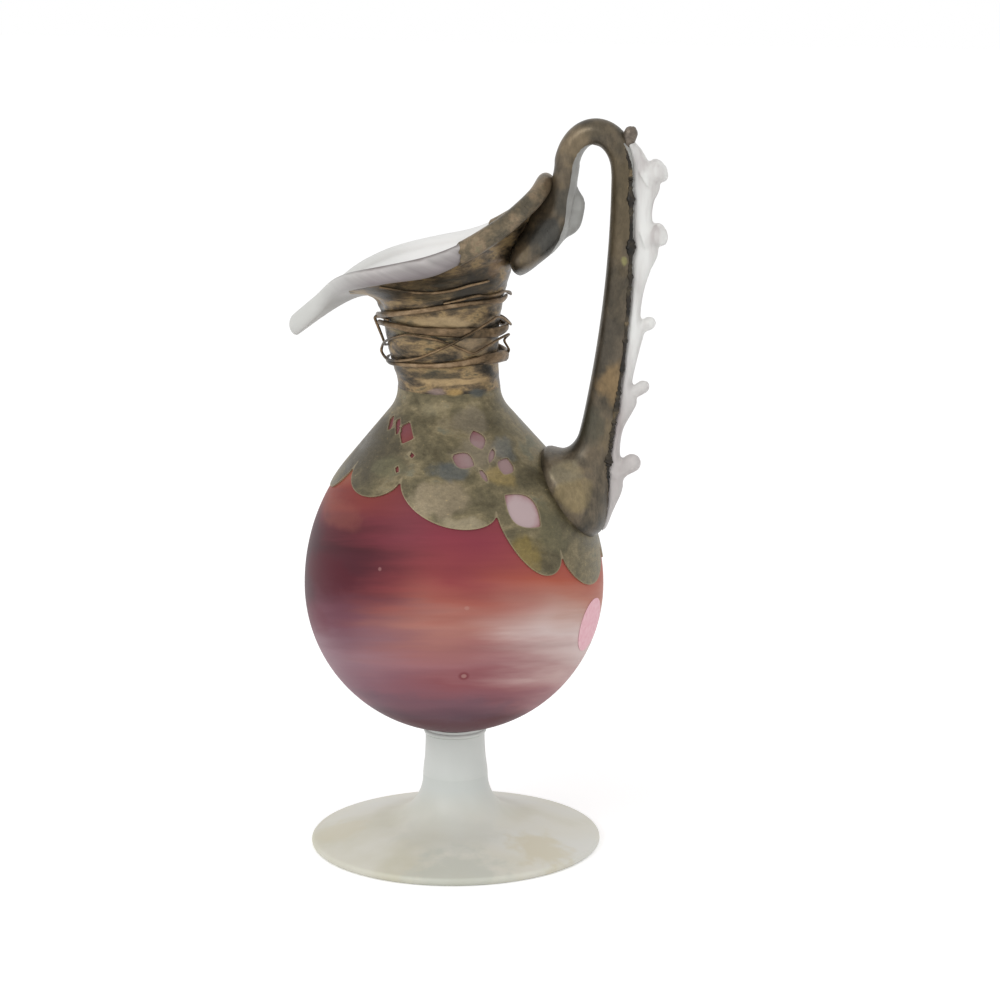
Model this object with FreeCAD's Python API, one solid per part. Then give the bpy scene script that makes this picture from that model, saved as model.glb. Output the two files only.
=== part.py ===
import FreeCAD, Part
import os
from math import asin, atan2, cos, degrees, hypot, pi, radians, sin, sqrt, tan

# Glass ewer: a blown bulb on a stemmed foot, a pulled spout, a looped handle with a
# knobbed crest, and a pierced metal skin laid over the shoulder, neck, rim and handle.
# Frame: origin at the centre of the foot's underside, +Z up, +X towards the handle,
# -X towards the pouring lip. Azimuths turn from +X towards -Y, in degrees.

Vector = FreeCAD.Vector

# Foot
foot_radius = 50.5
foot_edge_thickness = 3.0
foot_cone_height = 8.5
foot_fillet_radius = 16.0
foot_height = 25.0

# Stem and its collar
stem_bottom_radius = 11.3
stem_top_radius = 10.3
stem_length = 14.7
stem_waist_height_share = 0.45
stem_waist_drop_share = 0.7
collar_radius = 10.9
collar_thickness = 1.9

# Bulb
bulb_radius = 51.6
shoulder_arc_radius = 66.0
shoulder_arc_angle = 40.7
neck_radius = 16.95
neck_fillet_radius = 12.5
glass_wall = 3.2

# Neck and spout
spout_rise = 72.9
lip_reach = 58.5
spout_side_reach = 37.5
spout_back_reach = 34.4
neck_straight_length = 4.4
neck_lean = 1.5
neck_offset = 1.3
rim_bead_height = 7.4
rim_bead_width = 5.2

# Handle
limb_radius = 4.0
grip_radius = 5.8
loop_span = 19.6
loop_arch_height = 13.6
loop_rise = 18.6
lower_pad_latitude = 31.0
lower_pad_radius = 16.6
upper_pad_half_width = 13.5
upper_pad_half_thickness = 7.2

# Crest along the handle
crest_half_width = 3.0
crest_half_thickness = 3.6
crest_margin = 0.3
crest_knob_radius = 4.0
crest_knob_length = 9.0
crest_tip_radius = 1.8
crest_tip_length = 5.5
crest_tip_lean = 2.0

# Metal skin over the glass, its cut-outs and their sizes
skin = 0.5
seat_clearance = 0.05
petal_width = 3.6
petal_length = 8.0
window_width = 11.5
window_length = 13.5
slot_width = 4.2
slot_length = 5.4

# Wound neck threads
thread_radius = 0.9
fine_thread_radius = 0.5
thread_gap = 1.2
top_thread_gap = 0.6
crossing_gap = 0.5
winding_start_height = 32.3
winding_pitch = 9.7
winding_tilt = 1.8
winding_turns = 2.5
top_thread_height = 36.0
top_thread_sway = 0.5
top_thread_turns = 0.5
zigzag_height = 17.5
zigzag_swing = 8.0
zigzag_turns = 2.0

# Paper dot
dot_radius = 9.5
dot_thickness = 0.15
dot_azimuth = 10.7
dot_latitude = -11.5

# Facets, cutters and the distance below which two points are one
bulb_sides = 52
foot_sides = 48
limb_sides = 12
crest_sides = 8
thread_sides = 4
dot_sides = 20
cut_overrun = 20.0
same_point = 0.0001
flat_tolerance = 0.0000001

# Height above the bulb's widest place as a share of the way up to the neck joint, and the
# neck's sideways shift there as a share.
neck_shift_shares = [(0, 0), (1, 1), (1.25, 1), (1.8, 0)]

# Heights that follow from the sizes above
stem_top = foot_height + stem_length
bulb_pole = stem_top + collar_thickness
bulb_centre = bulb_pole + bulb_radius
shoulder_offset = shoulder_arc_radius - bulb_radius


# Tools for outlines and faceted solids


def arc_points(centre, radius, start, end, steps):
    """Points (radius, height) along an arc of an outline; angles in degrees."""
    points = []
    for step in range(steps + 1):
        angle = radians(start + (end - start) * step / steps)
        points.append((centre[0] + radius * cos(angle), centre[1] + radius * sin(angle)))
    return points


def neck_shift(height):
    """Sideways shift of the hand-blown neck against the bulb's axis at a height."""
    share = (height - bulb_centre) / (neck_joint - bulb_centre)
    return -neck_offset * blend(neck_shift_shares, max(0, min(share, neck_shift_shares[-1][0])), 1)


def turned_point(azimuth, radius, height):
    angle = radians(azimuth)
    shift = neck_shift(height) if height > bulb_centre else 0
    return Vector(radius * cos(angle) + shift, -radius * sin(angle), height)


def outward(solid):
    if solid.Volume < 0:
        solid.reverse()
    return solid


def largest(shape):
    return outward(max(shape.Solids, key=lambda solid: abs(solid.Volume)))


def distinct_points(points):
    """Points of an outline without those that repeat the one before."""
    kept = [points[0]]
    for point in points[1:]:
        if point.distanceToPoint(kept[-1]) > same_point:
            kept.append(point)
    return kept


def triangle(corners):
    distinct = distinct_points(corners + corners[:1])
    if len(distinct) < 4:
        return []
    return [Part.Face(Part.makePolygon(distinct))]


def cell_faces(first, first_next, second_next, second):
    """Flat faces of a cell: one where its corners lie flat, else two along the same diagonal
    for either direction round the outline, so that a skin follows the surface under it."""
    corners = distinct_points([first, first_next, second_next, second, first])[:-1]
    if len(corners) < 4:
        return triangle(corners)
    normal = (corners[1] - corners[0]).cross(corners[2] - corners[0])
    if abs(normal.dot(corners[3] - corners[0])) <= flat_tolerance * normal.Length:
        return [Part.Face(Part.makePolygon(corners + corners[:1]))]
    if rank(first) < rank(first_next):
        return triangle([first, first_next, second_next]) + triangle([first, second_next, second])
    return triangle([first_next, second_next, second]) + triangle([first_next, second, first])


def rank(point):
    return round(point.z, 5), round(point.x, 5), round(point.y, 5)


def skinned(outlines, closed=False):
    """Solid with flat facets over matching outlines: a closed ring, or a run with flat ends."""
    faces = []
    pairs = list(zip(outlines[:-1], outlines[1:]))
    if closed:
        pairs.append((outlines[-1], outlines[0]))
    else:
        for end in (outlines[0], outlines[-1]):
            opposite = end[::-1]
            for corner in range(len(end) // 2 - 1):
                after = corner + 1
                faces += cell_faces(end[corner], end[after], opposite[after], opposite[corner])
    for first, second in pairs:
        for corner in range(len(first)):
            after = (corner + 1) % len(first)
            faces += cell_faces(first[corner], first[after], second[after], second[corner])
    return outward(Part.makeSolid(Part.makeShell(faces)))


def swept_round(outlines, closed):
    """Solid through radial outlines given as (azimuth, points)."""
    rings = []
    for azimuth, points in outlines:
        rings.append([turned_point(azimuth, radius, height) for radius, height in points])
    return skinned(rings, closed)


def revolved(points, sides):
    """Many-sided solid of revolution about Z of a closed outline."""
    return swept_round([(360 * side / sides, points) for side in range(sides)], True)


def blend(rows, place, column):
    """Smooth value of one column of a table at a place between its rows, level at both ends."""
    index = 0
    while index < len(rows) - 2 and place > rows[index + 1][0]:
        index += 1
    low, high = rows[index], rows[index + 1]
    span = high[0] - low[0]

    def slope(row):
        if row == 0 or row == len(rows) - 1:
            return 0
        before, after = rows[row - 1], rows[row + 1]
        return (after[column] - before[column]) / (after[0] - before[0])

    t = (place - low[0]) / span
    rise = high[column] - low[column]
    start_bend = slope(index) * span - rise
    end_bend = rise - slope(index + 1) * span
    return low[column] + rise * t + t * (1 - t) * (start_bend * (1 - t) + end_bend * t)


# Foot, stem and collar


def make_foot():
    edge = foot_edge_thickness / 2
    fillet_start = stem_bottom_radius + foot_fillet_radius
    fillet_centre = (fillet_start, foot_cone_height + foot_fillet_radius)
    points = [(0, 0)] + arc_points((foot_radius - edge, edge), edge, -90, 75, 4)
    points += arc_points(fillet_centre, foot_fillet_radius, 270, 180, 6)
    points += [(stem_bottom_radius, foot_height), (0, foot_height)]
    return revolved(points, foot_sides).removeSplitter()


def make_stem():
    waist_radius = stem_bottom_radius - (stem_bottom_radius - stem_top_radius) * stem_waist_drop_share
    waist_height = foot_height + stem_length * stem_waist_height_share
    points = [(0, foot_height), (stem_bottom_radius, foot_height), (waist_radius, waist_height)]
    points += [(stem_top_radius, stem_top), (0, stem_top)]
    return revolved(points, foot_sides)


def make_stem_collar(bulb_envelope):
    seat_depth = bulb_radius - sqrt(bulb_radius ** 2 - collar_radius ** 2)
    edge = collar_thickness / 2
    points = [(0, stem_top)] + arc_points((collar_radius - edge, stem_top + edge), edge, -90, 0, 2)
    points += [(collar_radius, bulb_pole + seat_depth), (0, bulb_pole + seat_depth)]
    return revolved(points, bulb_sides).cut(bulb_envelope)


# Bulb


def shoulder_point(latitude, offset=0):
    """Radius and height on the bulb's side at a latitude, moved out along its normal."""
    angle = radians(latitude)
    arc_radius = shoulder_arc_radius if latitude > 0 else bulb_radius
    reach = (arc_radius + offset) * cos(angle) + bulb_radius - arc_radius
    return reach, bulb_centre + (arc_radius + offset) * sin(angle)


def upper_outline(offset, steps):
    """Outline of the bulb from its widest place up to the neck joint."""
    angle = radians(shoulder_arc_angle)
    slope_start = shoulder_point(shoulder_arc_angle, offset)
    slope_end_radius = neck_radius + neck_fillet_radius * (1 - cos(angle)) + offset * cos(angle)
    slope_end_height = slope_start[1] + (slope_start[0] - slope_end_radius) / tan(angle)
    fillet = neck_fillet_radius - offset
    fillet_centre = (neck_radius + neck_fillet_radius, slope_end_height + fillet * sin(angle))
    points = arc_points((-shoulder_offset, bulb_centre), shoulder_arc_radius + offset,
                        0, shoulder_arc_angle, steps)
    points += arc_points(fillet_centre, fillet, 180 + shoulder_arc_angle, 180, 3)
    return points


def bulb_outline(offset, lower_steps, upper_steps):
    lower = arc_points((0, bulb_centre), bulb_radius + offset, -90, 0, lower_steps)
    return lower[:-1] + upper_outline(offset, upper_steps)


neck_joint = upper_outline(0, 1)[-1][1]
spout_back_top = neck_joint + spout_rise
side_outline = upper_outline(0, 12)


def side_point(share):
    """Radius and height on the bulb's upper side at a share of the way up to the neck joint."""
    height = bulb_centre + (neck_joint - bulb_centre) * share
    index = 0
    while index < len(side_outline) - 2 and height > side_outline[index + 1][1]:
        index += 1
    low, high = side_outline[index], side_outline[index + 1]
    t = (height - low[1]) / (high[1] - low[1])
    return low[0] + (high[0] - low[0]) * t, height


def make_bulb_envelope(offset=0):
    outline = bulb_outline(offset, 9, 5)
    return revolved(outline + [(0, outline[-1][1])], bulb_sides)


def make_bulb():
    outer = bulb_outline(0, 9, 5)
    inner = bulb_outline(-glass_wall, 6, 3)
    return revolved(outer + inner[::-1], bulb_sides)


# Neck and spout: a wall outline in each radial plane, skinned round the axis.
# Each row gives the azimuth, the reach of the rim, its height above the neck joint as a
# share of the spout's rise, the size of the rolled bead as a share, the end of the bead's
# arc and the slope of the wall in degrees, and the wall's lift and pull as shares of the rise.
rim_rows = [
    (0, spout_back_reach, 1.000, 0.75, 190, 64, 0.46, 0.25),
    (20, spout_side_reach * 0.920, 0.945, 0.78, 190, 60, 0.44, 0.235),
    (45, spout_side_reach * 0.870, 0.835, 0.86, 189, 52, 0.40, 0.21),
    (71, spout_side_reach * 0.833, 0.733, 0.93, 188, 43, 0.35, 0.185),
    (90, spout_side_reach * 0.880, 0.680, 1.00, 185, 36, 0.31, 0.17),
    (112, spout_side_reach, 0.636, 1.00, 182, 29, 0.32, 0.16),
    (130, spout_side_reach * 1.080, 0.598, 0.98, 178, 22, 0.36, 0.175),
    (145, spout_side_reach * 1.100, 0.558, 0.95, 172, 11, 0.41, 0.195),
    (158, spout_side_reach * 1.165, 0.505, 0.85, 155, -8, 0.46, 0.22),
    (168, lip_reach * 0.835, 0.424, 0.78, 140, -24, 0.52, 0.25),
    (180, lip_reach, 0.285, 0.74, 125, -36, 0.57, 0.28),
]
bead_start_angle = -100
wall_steps = 5
bead_steps = 5
row_steps = 2


def rim_value(azimuth, column):
    folded = abs((azimuth + 180) % 360 - 180)
    return blend(rim_rows, folded, column)


def section_azimuths():
    """Azimuths of the wall outlines from -180 to 180, evenly between the table's rows."""
    half = []
    for low, high in zip(rim_rows[:-1], rim_rows[1:]):
        half += [low[0] + (high[0] - low[0]) * step / row_steps for step in range(row_steps)]
    return [-azimuth for azimuth in half[:0:-1]] + half + [rim_rows[-1][0]]


def bead_points(azimuth, offset):
    """Rolled bead of the rim: part of an ellipse, from the wall's outside over its top."""
    size = rim_value(azimuth, 3)
    half_height = rim_bead_height * size / 2
    half_width = rim_bead_width * (1 + size) / 4
    centre_radius = rim_value(azimuth, 1) - half_width
    centre_height = neck_joint + spout_rise * rim_value(azimuth, 2) - half_height
    sweep = rim_value(azimuth, 4) - bead_start_angle
    points = []
    for step in range(bead_steps + 1):
        angle = radians(bead_start_angle + sweep * step / bead_steps)
        points.append((centre_radius + (half_width + offset) * cos(angle),
                       centre_height + (half_height + offset) * sin(angle)))
    return points


def offset_corners(corners, offset):
    """Corners of an open run of lines moved to its right-hand side by an offset."""
    normals = []
    for (x0, z0), (x1, z1) in zip(corners[:-1], corners[1:]):
        length = hypot(x1 - x0, z1 - z0)
        normals.append(((z1 - z0) / length, (x0 - x1) / length))
    moved = []
    for index, (x, z) in enumerate(corners):
        before = normals[max(index - 1, 0)]
        after = normals[min(index, len(normals) - 1)]
        scale = offset / (1 + before[0] * after[0] + before[1] * after[1])
        moved.append((x + (before[0] + after[0]) * scale, z + (before[1] + after[1]) * scale))
    return moved


def wall_corners(azimuth, offset):
    """Control corners of the flaring wall, moved outwards; its last one is on the bead."""
    slope = radians(rim_value(azimuth, 5))
    lean = -cos(radians(azimuth)) * neck_lean
    start = (neck_radius, neck_joint + neck_straight_length)
    lift = spout_rise * rim_value(azimuth, 6)
    pull = spout_rise * rim_value(azimuth, 7)
    end = bead_points(azimuth, 0)[0]
    corners = [start, (start[0] + lean, start[1] + lift)]
    corners += [(end[0] - pull * cos(slope), end[1] - pull * sin(slope)), end]
    return offset_corners(corners, offset)


def bezier(corners, t):
    weights = ((1 - t) ** 3, 3 * t * (1 - t) ** 2, 3 * t * t * (1 - t), t ** 3)
    radius = sum(weight * corner[0] for weight, corner in zip(weights, corners))
    height = sum(weight * corner[1] for weight, corner in zip(weights, corners))
    return radius, height


def wall_points(azimuth, offset, last=None):
    corners = wall_corners(azimuth, offset)
    if last:
        corners[3] = last
    curve = [bezier(corners, step / wall_steps) for step in range(wall_steps + 1)]
    return [(neck_radius + offset, neck_joint)] + curve


def cut_short(points, end_share):
    """Outline with its last rows drawn back to a share of its length, on its own lines."""
    place = (len(points) - 1) * end_share
    index = int(place)
    low, high = points[index], points[index + 1]
    t = place - index
    end = (low[0] + (high[0] - low[0]) * t, low[1] + (high[1] - low[1]) * t)
    return points[:index + 1] + [end] * (len(points) - index - 1)


def wall_radius(azimuth, height):
    """Radius of the spout's outside at a height."""
    corners = wall_corners(azimuth, 0)
    if height <= corners[0][1]:
        return neck_radius
    low, high = 0, 1
    for halving in range(24):
        middle = (low + high) / 2
        if bezier(corners, middle)[1] < height:
            low = middle
        else:
            high = middle
    return bezier(corners, low)[0]


def make_neck_and_spout():
    outlines = []
    for azimuth in section_azimuths()[:-1]:
        outer = wall_points(azimuth, 0)
        bead = bead_points(azimuth, 0)
        inner = wall_points(azimuth, -glass_wall, bead[-1])
        outlines.append((azimuth, outer + bead[1:] + inner[:-1][::-1]))
    return swept_round(outlines, True)


def make_spout_envelope(offset):
    """The spout filled up to its rim and moved out, to cut what seats against it."""
    outlines = []
    for azimuth in section_azimuths()[:-1]:
        bead = bead_points(azimuth, offset)
        outline = [(0, neck_joint)] + wall_points(azimuth, offset) + bead[1:]
        outlines.append((azimuth, outline + [(0, spout_back_top)]))
    return swept_round(outlines, True)


# Metal skin on the neck and on the back half of the rim

metal_edge_rows = [(0, 0.97), (140, 0.97), (156, 0.78), (170, 0.52), (180, 0.46)]
rim_metal_azimuth = 73
rim_metal_rows = 5


def make_neck_overlay(cutters):
    outlines = []
    for azimuth in section_azimuths()[:-1]:
        end_share = blend(metal_edge_rows, abs(azimuth), 1)
        inner = cut_short(wall_points(azimuth, seat_clearance), end_share)
        outer = cut_short(wall_points(azimuth, seat_clearance + skin), end_share)
        outlines.append((azimuth, outer + inner[::-1]))
    return largest(swept_round(outlines, True).cut(cutters))


def make_rim_overlay(cutters):
    outlines = []
    for azimuth in section_azimuths():
        if abs(azimuth) < rim_metal_azimuth:
            inner = bead_points(azimuth, seat_clearance)[:rim_metal_rows]
            outer = bead_points(azimuth, seat_clearance + skin)[:rim_metal_rows]
            outlines.append((azimuth, outer + inner[::-1]))
    return largest(swept_round(outlines, False).cut(cutters))


# Pierced and scalloped metal skin on the shoulder

# Azimuth of the valley between two lobes, its height as a share of the way up from the
# bulb's widest place to the neck joint, and the drop of the lobe from there to the next valley.
scallop_rows = [
    (180, 0.660, 0.150), (146, 0.656, 0.110), (105.8, 0.629, 0.125), (58, 0.489, 0.185),
    (31.2, 0.276, 0.190), (-4, 0.240, 0.150), (-33, 0.300, 0.130), (-60, 0.490, 0.125),
    (-104, 0.630, 0.110), (-142, 0.656, 0.120),
]
lobe_steps = 6
lobe_roundness = 0.5
leaf_steps = 3
slot_taper_share = 0.6
frame_step_share = 0.01

# Azimuth and height share of a flower of petals, and the petals' turns; then single windows
# with their turn and their size as a share, and small slots with their turn.
flowers = [(58.5, 0.706), (-62, 0.70), (-128, 0.72)]
petal_turns = (5, 78, 130, 253, 299)
petal_ring_share = 0.72
windows = [(44.5, 0.472, 12, 1.0), (-47, 0.46, -10, 0.9)]
slots = [(141, 0.86, 30), (120, 0.822, 35), (106, 0.731, 60), (116.5, 0.655, 50), (-100, 0.80, -30)]


def make_lobe(row, after):
    """Upright prism over one lobe: bounded below by a rounded edge between two valleys."""
    middle = (row[0] + after[0]) / 2
    along = turned_point(middle, 1, 0)
    corners = []
    for step in range(lobe_steps + 1):
        t = step / lobe_steps
        share = row[1] + (after[1] - row[1]) * t - row[2] * sin(pi * t) ** lobe_roundness
        azimuth = row[0] + (after[0] - row[0]) * t
        corner = turned_point(azimuth, *side_point(share))
        corners.append(corner - along * corner.dot(along))
    top = neck_joint + cut_overrun
    corners += [Vector(end.x, end.y, top) for end in (corners[-1], corners[0])]
    face = Part.Face(Part.makePolygon(corners + [corners[0]]))
    return face.extrude(along * (bulb_radius + cut_overrun))


def surface_frame(azimuth, share):
    """Point on the bulb's upper side with its outward, level and uphill directions."""
    centre = turned_point(azimuth, *side_point(share))
    uphill = (turned_point(azimuth, *side_point(share + frame_step_share)) - centre).normalize()
    level = turned_point(azimuth + 90, 1, 0)
    return centre, level.cross(uphill), level, uphill


def opening_cutter(azimuth, share, turn, shift, depth, outline):
    """Prism through the skin over an outline of (along, across) points, turned and shifted."""
    centre, normal, level, uphill = surface_frame(azimuth, share)
    along = uphill * cos(radians(turn)) + level * sin(radians(turn))
    across = along.cross(normal)
    base = centre + along * shift - normal * (depth / 2)
    corners = [base + along * place + across * side for place, side in outline]
    return Part.Face(Part.makePolygon(corners + [corners[0]])).extrude(normal * depth)


def leaf_outline(length, width):
    """Pointed leaf: two bowed sides between a tip and a tail."""
    sides = []
    for step in range(leaf_steps):
        t = step / leaf_steps
        sides.append((length * (0.5 - t), width / 2 * sin(pi * t)))
    return sides + [(-place, -side) for place, side in sides]


def slot_outline(length, width):
    half_length = length / 2
    half_width = width / 2
    short = half_width * slot_taper_share
    return [(half_length, short), (half_length, -half_width), (-half_length, -short), (-half_length, half_width)]


def make_shoulder_overlay(lower_pad_room):
    inner = upper_outline(seat_clearance, 5)
    outer = upper_outline(seat_clearance + skin, 5)
    shell = revolved(outer + inner[::-1], bulb_sides)
    lobes = []
    for index, row in enumerate(scallop_rows):
        after = scallop_rows[(index + 1) % len(scallop_rows)]
        if after[0] > row[0]:
            after = (after[0] - 360, after[1])
        lobes.append(make_lobe(row, after))
    cutters = [lower_pad_room]
    for azimuth, share in flowers:
        for turn in petal_turns:
            outline = leaf_outline(petal_length, petal_width)
            shift = petal_length * petal_ring_share
            cutters.append(opening_cutter(azimuth, share, turn, shift, petal_length, outline))
    for azimuth, share, turn, size in windows:
        outline = leaf_outline(window_length * size, window_width * size)
        cutters.append(opening_cutter(azimuth, share, turn, 0, window_length, outline))
    for azimuth, share, turn in slots:
        outline = slot_outline(slot_length, slot_width)
        cutters.append(opening_cutter(azimuth, share, turn, 0, slot_length, outline))
    return largest(shell.common(lobes[0].multiFuse(lobes[1:])).cut(cutters))


# Handle: many-sided outlines along a path in the plane of symmetry


class Station:
    """One outline across the handle: centre, tilt of its in-plane direction, half sizes."""

    def __init__(self, x, z, tilt, half_thickness, half_width=None):
        self.x = x
        self.z = z
        self.tilt = radians(tilt)
        self.half_thickness = half_thickness
        self.half_width = half_width or half_thickness

    def point(self, angle, offset=0):
        across = (self.half_thickness + offset) * cos(radians(angle))
        side = (self.half_width + offset) * sin(radians(angle))
        return Vector(self.x + across * cos(self.tilt), side, self.z + across * sin(self.tilt))

    def ring(self, sides, offset=0):
        return [self.point(360 * (corner + 0.5) / sides, offset) for corner in range(sides)]

    def side_point(self, angle, offset):
        """Point at an angle on the many-sided outline, not on the ellipse round it."""
        place = angle * limb_sides / 360 - 0.5
        index = int(place)
        low = self.point(360 * (index + 0.5) / limb_sides, offset)
        high = self.point(360 * (index + 1.5) / limb_sides, offset)
        return low + (high - low) * (place - index)

    def open_ring(self, first, last):
        """Outline of a metal sleeve between two angles, with its corners over the glass's."""
        corners = range(2 * limb_sides)
        angles = [first] + [max(first, min(last, 360 * (corner + 0.5) / limb_sides)) for corner in corners]
        outer = [self.side_point(angle, seat_clearance + skin) for angle in angles + [last]]
        return outer + [self.side_point(angle, seat_clearance) for angle in [last] + angles[::-1]]


# Depth along the bulb's normal, slide up its slope and radius, as shares of the pad's
# radius, and the turn of the outline from the bulb's surface in degrees.
lower_pad_shares = [
    (-0.30, 0.00, 0.96, 0),
    (0.03, 0.06, 1.00, 5),
    (0.25, 0.15, 0.83, 12),
    (0.45, 0.27, 0.63, 20),
    (0.68, 0.46, 0.45, 31),
    (0.92, 0.66, 0.37, 41),
]

# Height on the spout's back as a share of its rise, then distance out, drop and half
# thickness as shares of the pad's half thickness, half width as a share, tilt in degrees.
upper_pad_shares = [
    (0.838, 1.15, 0.00, 0.61, 0.34, -14),
    (0.803, 0.86, 0.38, 0.92, 0.60, -26),
    (0.716, 0.70, 0.30, 0.94, 0.90, -23),
    (0.657, 0.54, 0.20, 0.78, 1.00, -26),
    (0.605, 0.44, 0.10, 0.58, 0.82, -33),
    (0.562, 0.40, 0.04, 0.30, 0.40, -42),
]

rim_back_face = spout_back_reach + seat_clearance + skin
left_limb_x = rim_back_face + seat_clearance + skin + seat_clearance + limb_radius
right_limb_x = left_limb_x + loop_span
arch_base = spout_back_top + loop_rise - loop_arch_height - limb_radius
loop_steps = 10
grip_steps = 8


def lower_pad_stations():
    foot = shoulder_point(lower_pad_latitude)
    normal = radians(lower_pad_latitude)
    stations = []
    for depth, slide, radius, turn in lower_pad_shares:
        x = foot[0] + lower_pad_radius * (depth * cos(normal) - slide * sin(normal))
        z = foot[1] + lower_pad_radius * (depth * sin(normal) + slide * cos(normal))
        stations.append(Station(x, z, lower_pad_latitude - 90 + turn, lower_pad_radius * radius))
    return stations


def grip_stations():
    """The grip leans in on a parabola from the loop down to the lower pad."""
    pad_end = lower_pad_stations()[-1]
    top = arch_base - limb_radius
    full_drop = top - pad_end.z
    lean = right_limb_x - pad_end.x
    stations = []
    for step in range(grip_steps, -1, -1):
        drop = (full_drop - grip_radius) * step / grip_steps
        x = right_limb_x - lean * (drop / full_drop) ** 2
        slope = degrees(atan2(2 * lean * drop, full_drop ** 2))
        radius = limb_radius + (grip_radius - limb_radius) * drop / full_drop
        stations.append(Station(x, top - drop, -slope, radius))
    return stations


def loop_stations():
    """Half an ellipse from the grip over to the spout's side."""
    centre_x = (left_limb_x + right_limb_x) / 2
    stations = []
    for step in range(loop_steps + 1):
        angle = pi * step / loop_steps
        x = centre_x + loop_span / 2 * cos(angle)
        z = arch_base + loop_arch_height * sin(angle)
        tilt = degrees(atan2(sin(angle) * loop_span / 2, cos(angle) * loop_arch_height))
        stations.append(Station(x, z, tilt, limb_radius))
    return stations


def upper_pad_stations():
    stations = []
    for height, distance, drop, thickness, width, tilt in upper_pad_shares:
        z = neck_joint + spout_rise * height
        x = turned_point(0, wall_radius(0, z), z).x + upper_pad_half_thickness * distance
        stations.append(Station(x, z - upper_pad_half_thickness * drop, tilt + 180,
                                upper_pad_half_thickness * thickness, upper_pad_half_width * width))
    return stations


lower_pad = lower_pad_stations()
grip = grip_stations()
loop = loop_stations()
upper_pad = upper_pad_stations()


def make_handle(bulb_envelope, spout_envelope):
    stations = lower_pad + grip + loop + upper_pad
    blank = skinned([station.ring(limb_sides) for station in stations])
    return blank.cut([bulb_envelope, spout_envelope])


def make_room(stations):
    """Space that a stretch of the handle and its metal skin take up."""
    return skinned([station.ring(limb_sides, 2 * seat_clearance + skin) for station in stations])


def make_sleeve(stations, first, last, cutters):
    """Metal sleeve on a stretch of the handle, half the crest's width away from two angles."""
    rings = []
    for station in stations:
        inset = degrees(asin((crest_half_width + crest_margin) / station.half_width))
        rings.append(station.open_ring(first + inset, last - inset))
    return largest(skinned(rings).cut(cutters))


# Crest: a clear strip on the grip's outer side with knobs, and a metal tip

# Place along the strip as a share of its length, thickness as a share of the strip's.
crest_swell_shares = [
    (0.00, 0.30), (0.08, 0.75), (0.19, 1.00), (0.28, 0.62), (0.36, 0.95), (0.46, 0.62),
    (0.60, 0.60), (0.75, 0.75), (0.87, 0.95), (0.96, 0.60), (1.00, 0.25),
]
# Place along the strip, size as a share of the largest knob, length as a share, rise in degrees.
crest_knob_shares = [
    (0.165, 0.75, 1.20, 28), (0.36, 0.58, 0.90, 28), (0.52, 0.55, 0.90, 32),
    (0.74, 1.00, 1.05, 18), (0.92, 1.05, 1.00, 30),
]
knob_profile_shares = [(0, 0.62), (0.30, 0.60), (0.52, 0.95), (0.72, 1.0), (0.90, 0.72), (1.0, 0.3)]
crest_tip_shares = [(-0.35, 1.0), (0.45, 1.1), (0.80, 1.0), (1.0, 0.5)]
crest_steps = 18
crest_seat_share = 0.45


def handle_side_point(share):
    """Outer side of the handle from the lower pad's foot up to the loop, with its tilt."""
    route = lower_pad[1:] + grip + loop[:3]
    points = [(station.point(0), station.tilt) for station in route]
    lengths = [0]
    for (start, _), (end, _) in zip(points[:-1], points[1:]):
        lengths.append(lengths[-1] + start.distanceToPoint(end))
    place = share * lengths[-1]
    index = 0
    while index < len(points) - 2 and place > lengths[index + 1]:
        index += 1
    t = (place - lengths[index]) / (lengths[index + 1] - lengths[index])
    point = points[index][0] + (points[index + 1][0] - points[index][0]) * t
    return point, points[index][1] + (points[index + 1][1] - points[index][1]) * t


def crest_station(share):
    point, tilt = handle_side_point(share)
    half = crest_half_thickness * blend(crest_swell_shares, share, 1)
    out = half * (1 - crest_seat_share)
    return Station(point.x + out * cos(tilt), point.z + out * sin(tilt), degrees(tilt), half, crest_half_width)


def make_knob(share, size, length, rise):
    base = crest_station(share)
    direction = Vector(cos(radians(rise)), 0, sin(radians(rise)))
    stations = []
    for along, radius in knob_profile_shares:
        place = Vector(base.x, 0, base.z) + direction * (crest_knob_length * length * along)
        stations.append(Station(place.x, place.z, rise - 90, crest_knob_radius * size * radius))
    return skinned([station.ring(crest_sides) for station in stations])


def make_crest_tip(crest, handle):
    """Metal nub that rises from the crest's upper end."""
    base = crest_station(1)
    stations = []
    for along, radius in crest_tip_shares:
        height = base.z + crest_tip_length * along
        stations.append(Station(base.x + crest_tip_lean * along, height, 0, crest_tip_radius * radius))
    return largest(skinned([station.ring(crest_sides) for station in stations]).cut([crest, handle]))


def make_handle_crest(handle):
    strip = skinned([crest_station(step / crest_steps).ring(crest_sides) for step in range(crest_steps + 1)])
    knobs = [make_knob(*row) for row in crest_knob_shares]
    crest = strip.multiFuse(knobs).cut(handle)
    return largest(crest)


# Threads wound round the neck

turn_step = 0.001
gap_points = 96
thread_reach_turns = (-45, -22, 0, 22, 45)
winding_start_azimuth = 350
top_thread_start_azimuth = -100
zigzag_start_azimuth = 260


def arc_from_tangent(start, corner, end):
    """Arc that leaves start towards a corner and arrives at end from it."""
    middle = (start + end) * 0.5
    half_chord = start.distanceToPoint(end) / 2
    height = corner.distanceToPoint(middle)
    if height < same_point:
        return Part.LineSegment(start, end)
    half_turn = atan2(height, half_chord)
    sagitta = half_chord * tan(half_turn / 2)
    return Part.Arc(start, middle + (corner - middle) * (sagitta / height), end)


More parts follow.
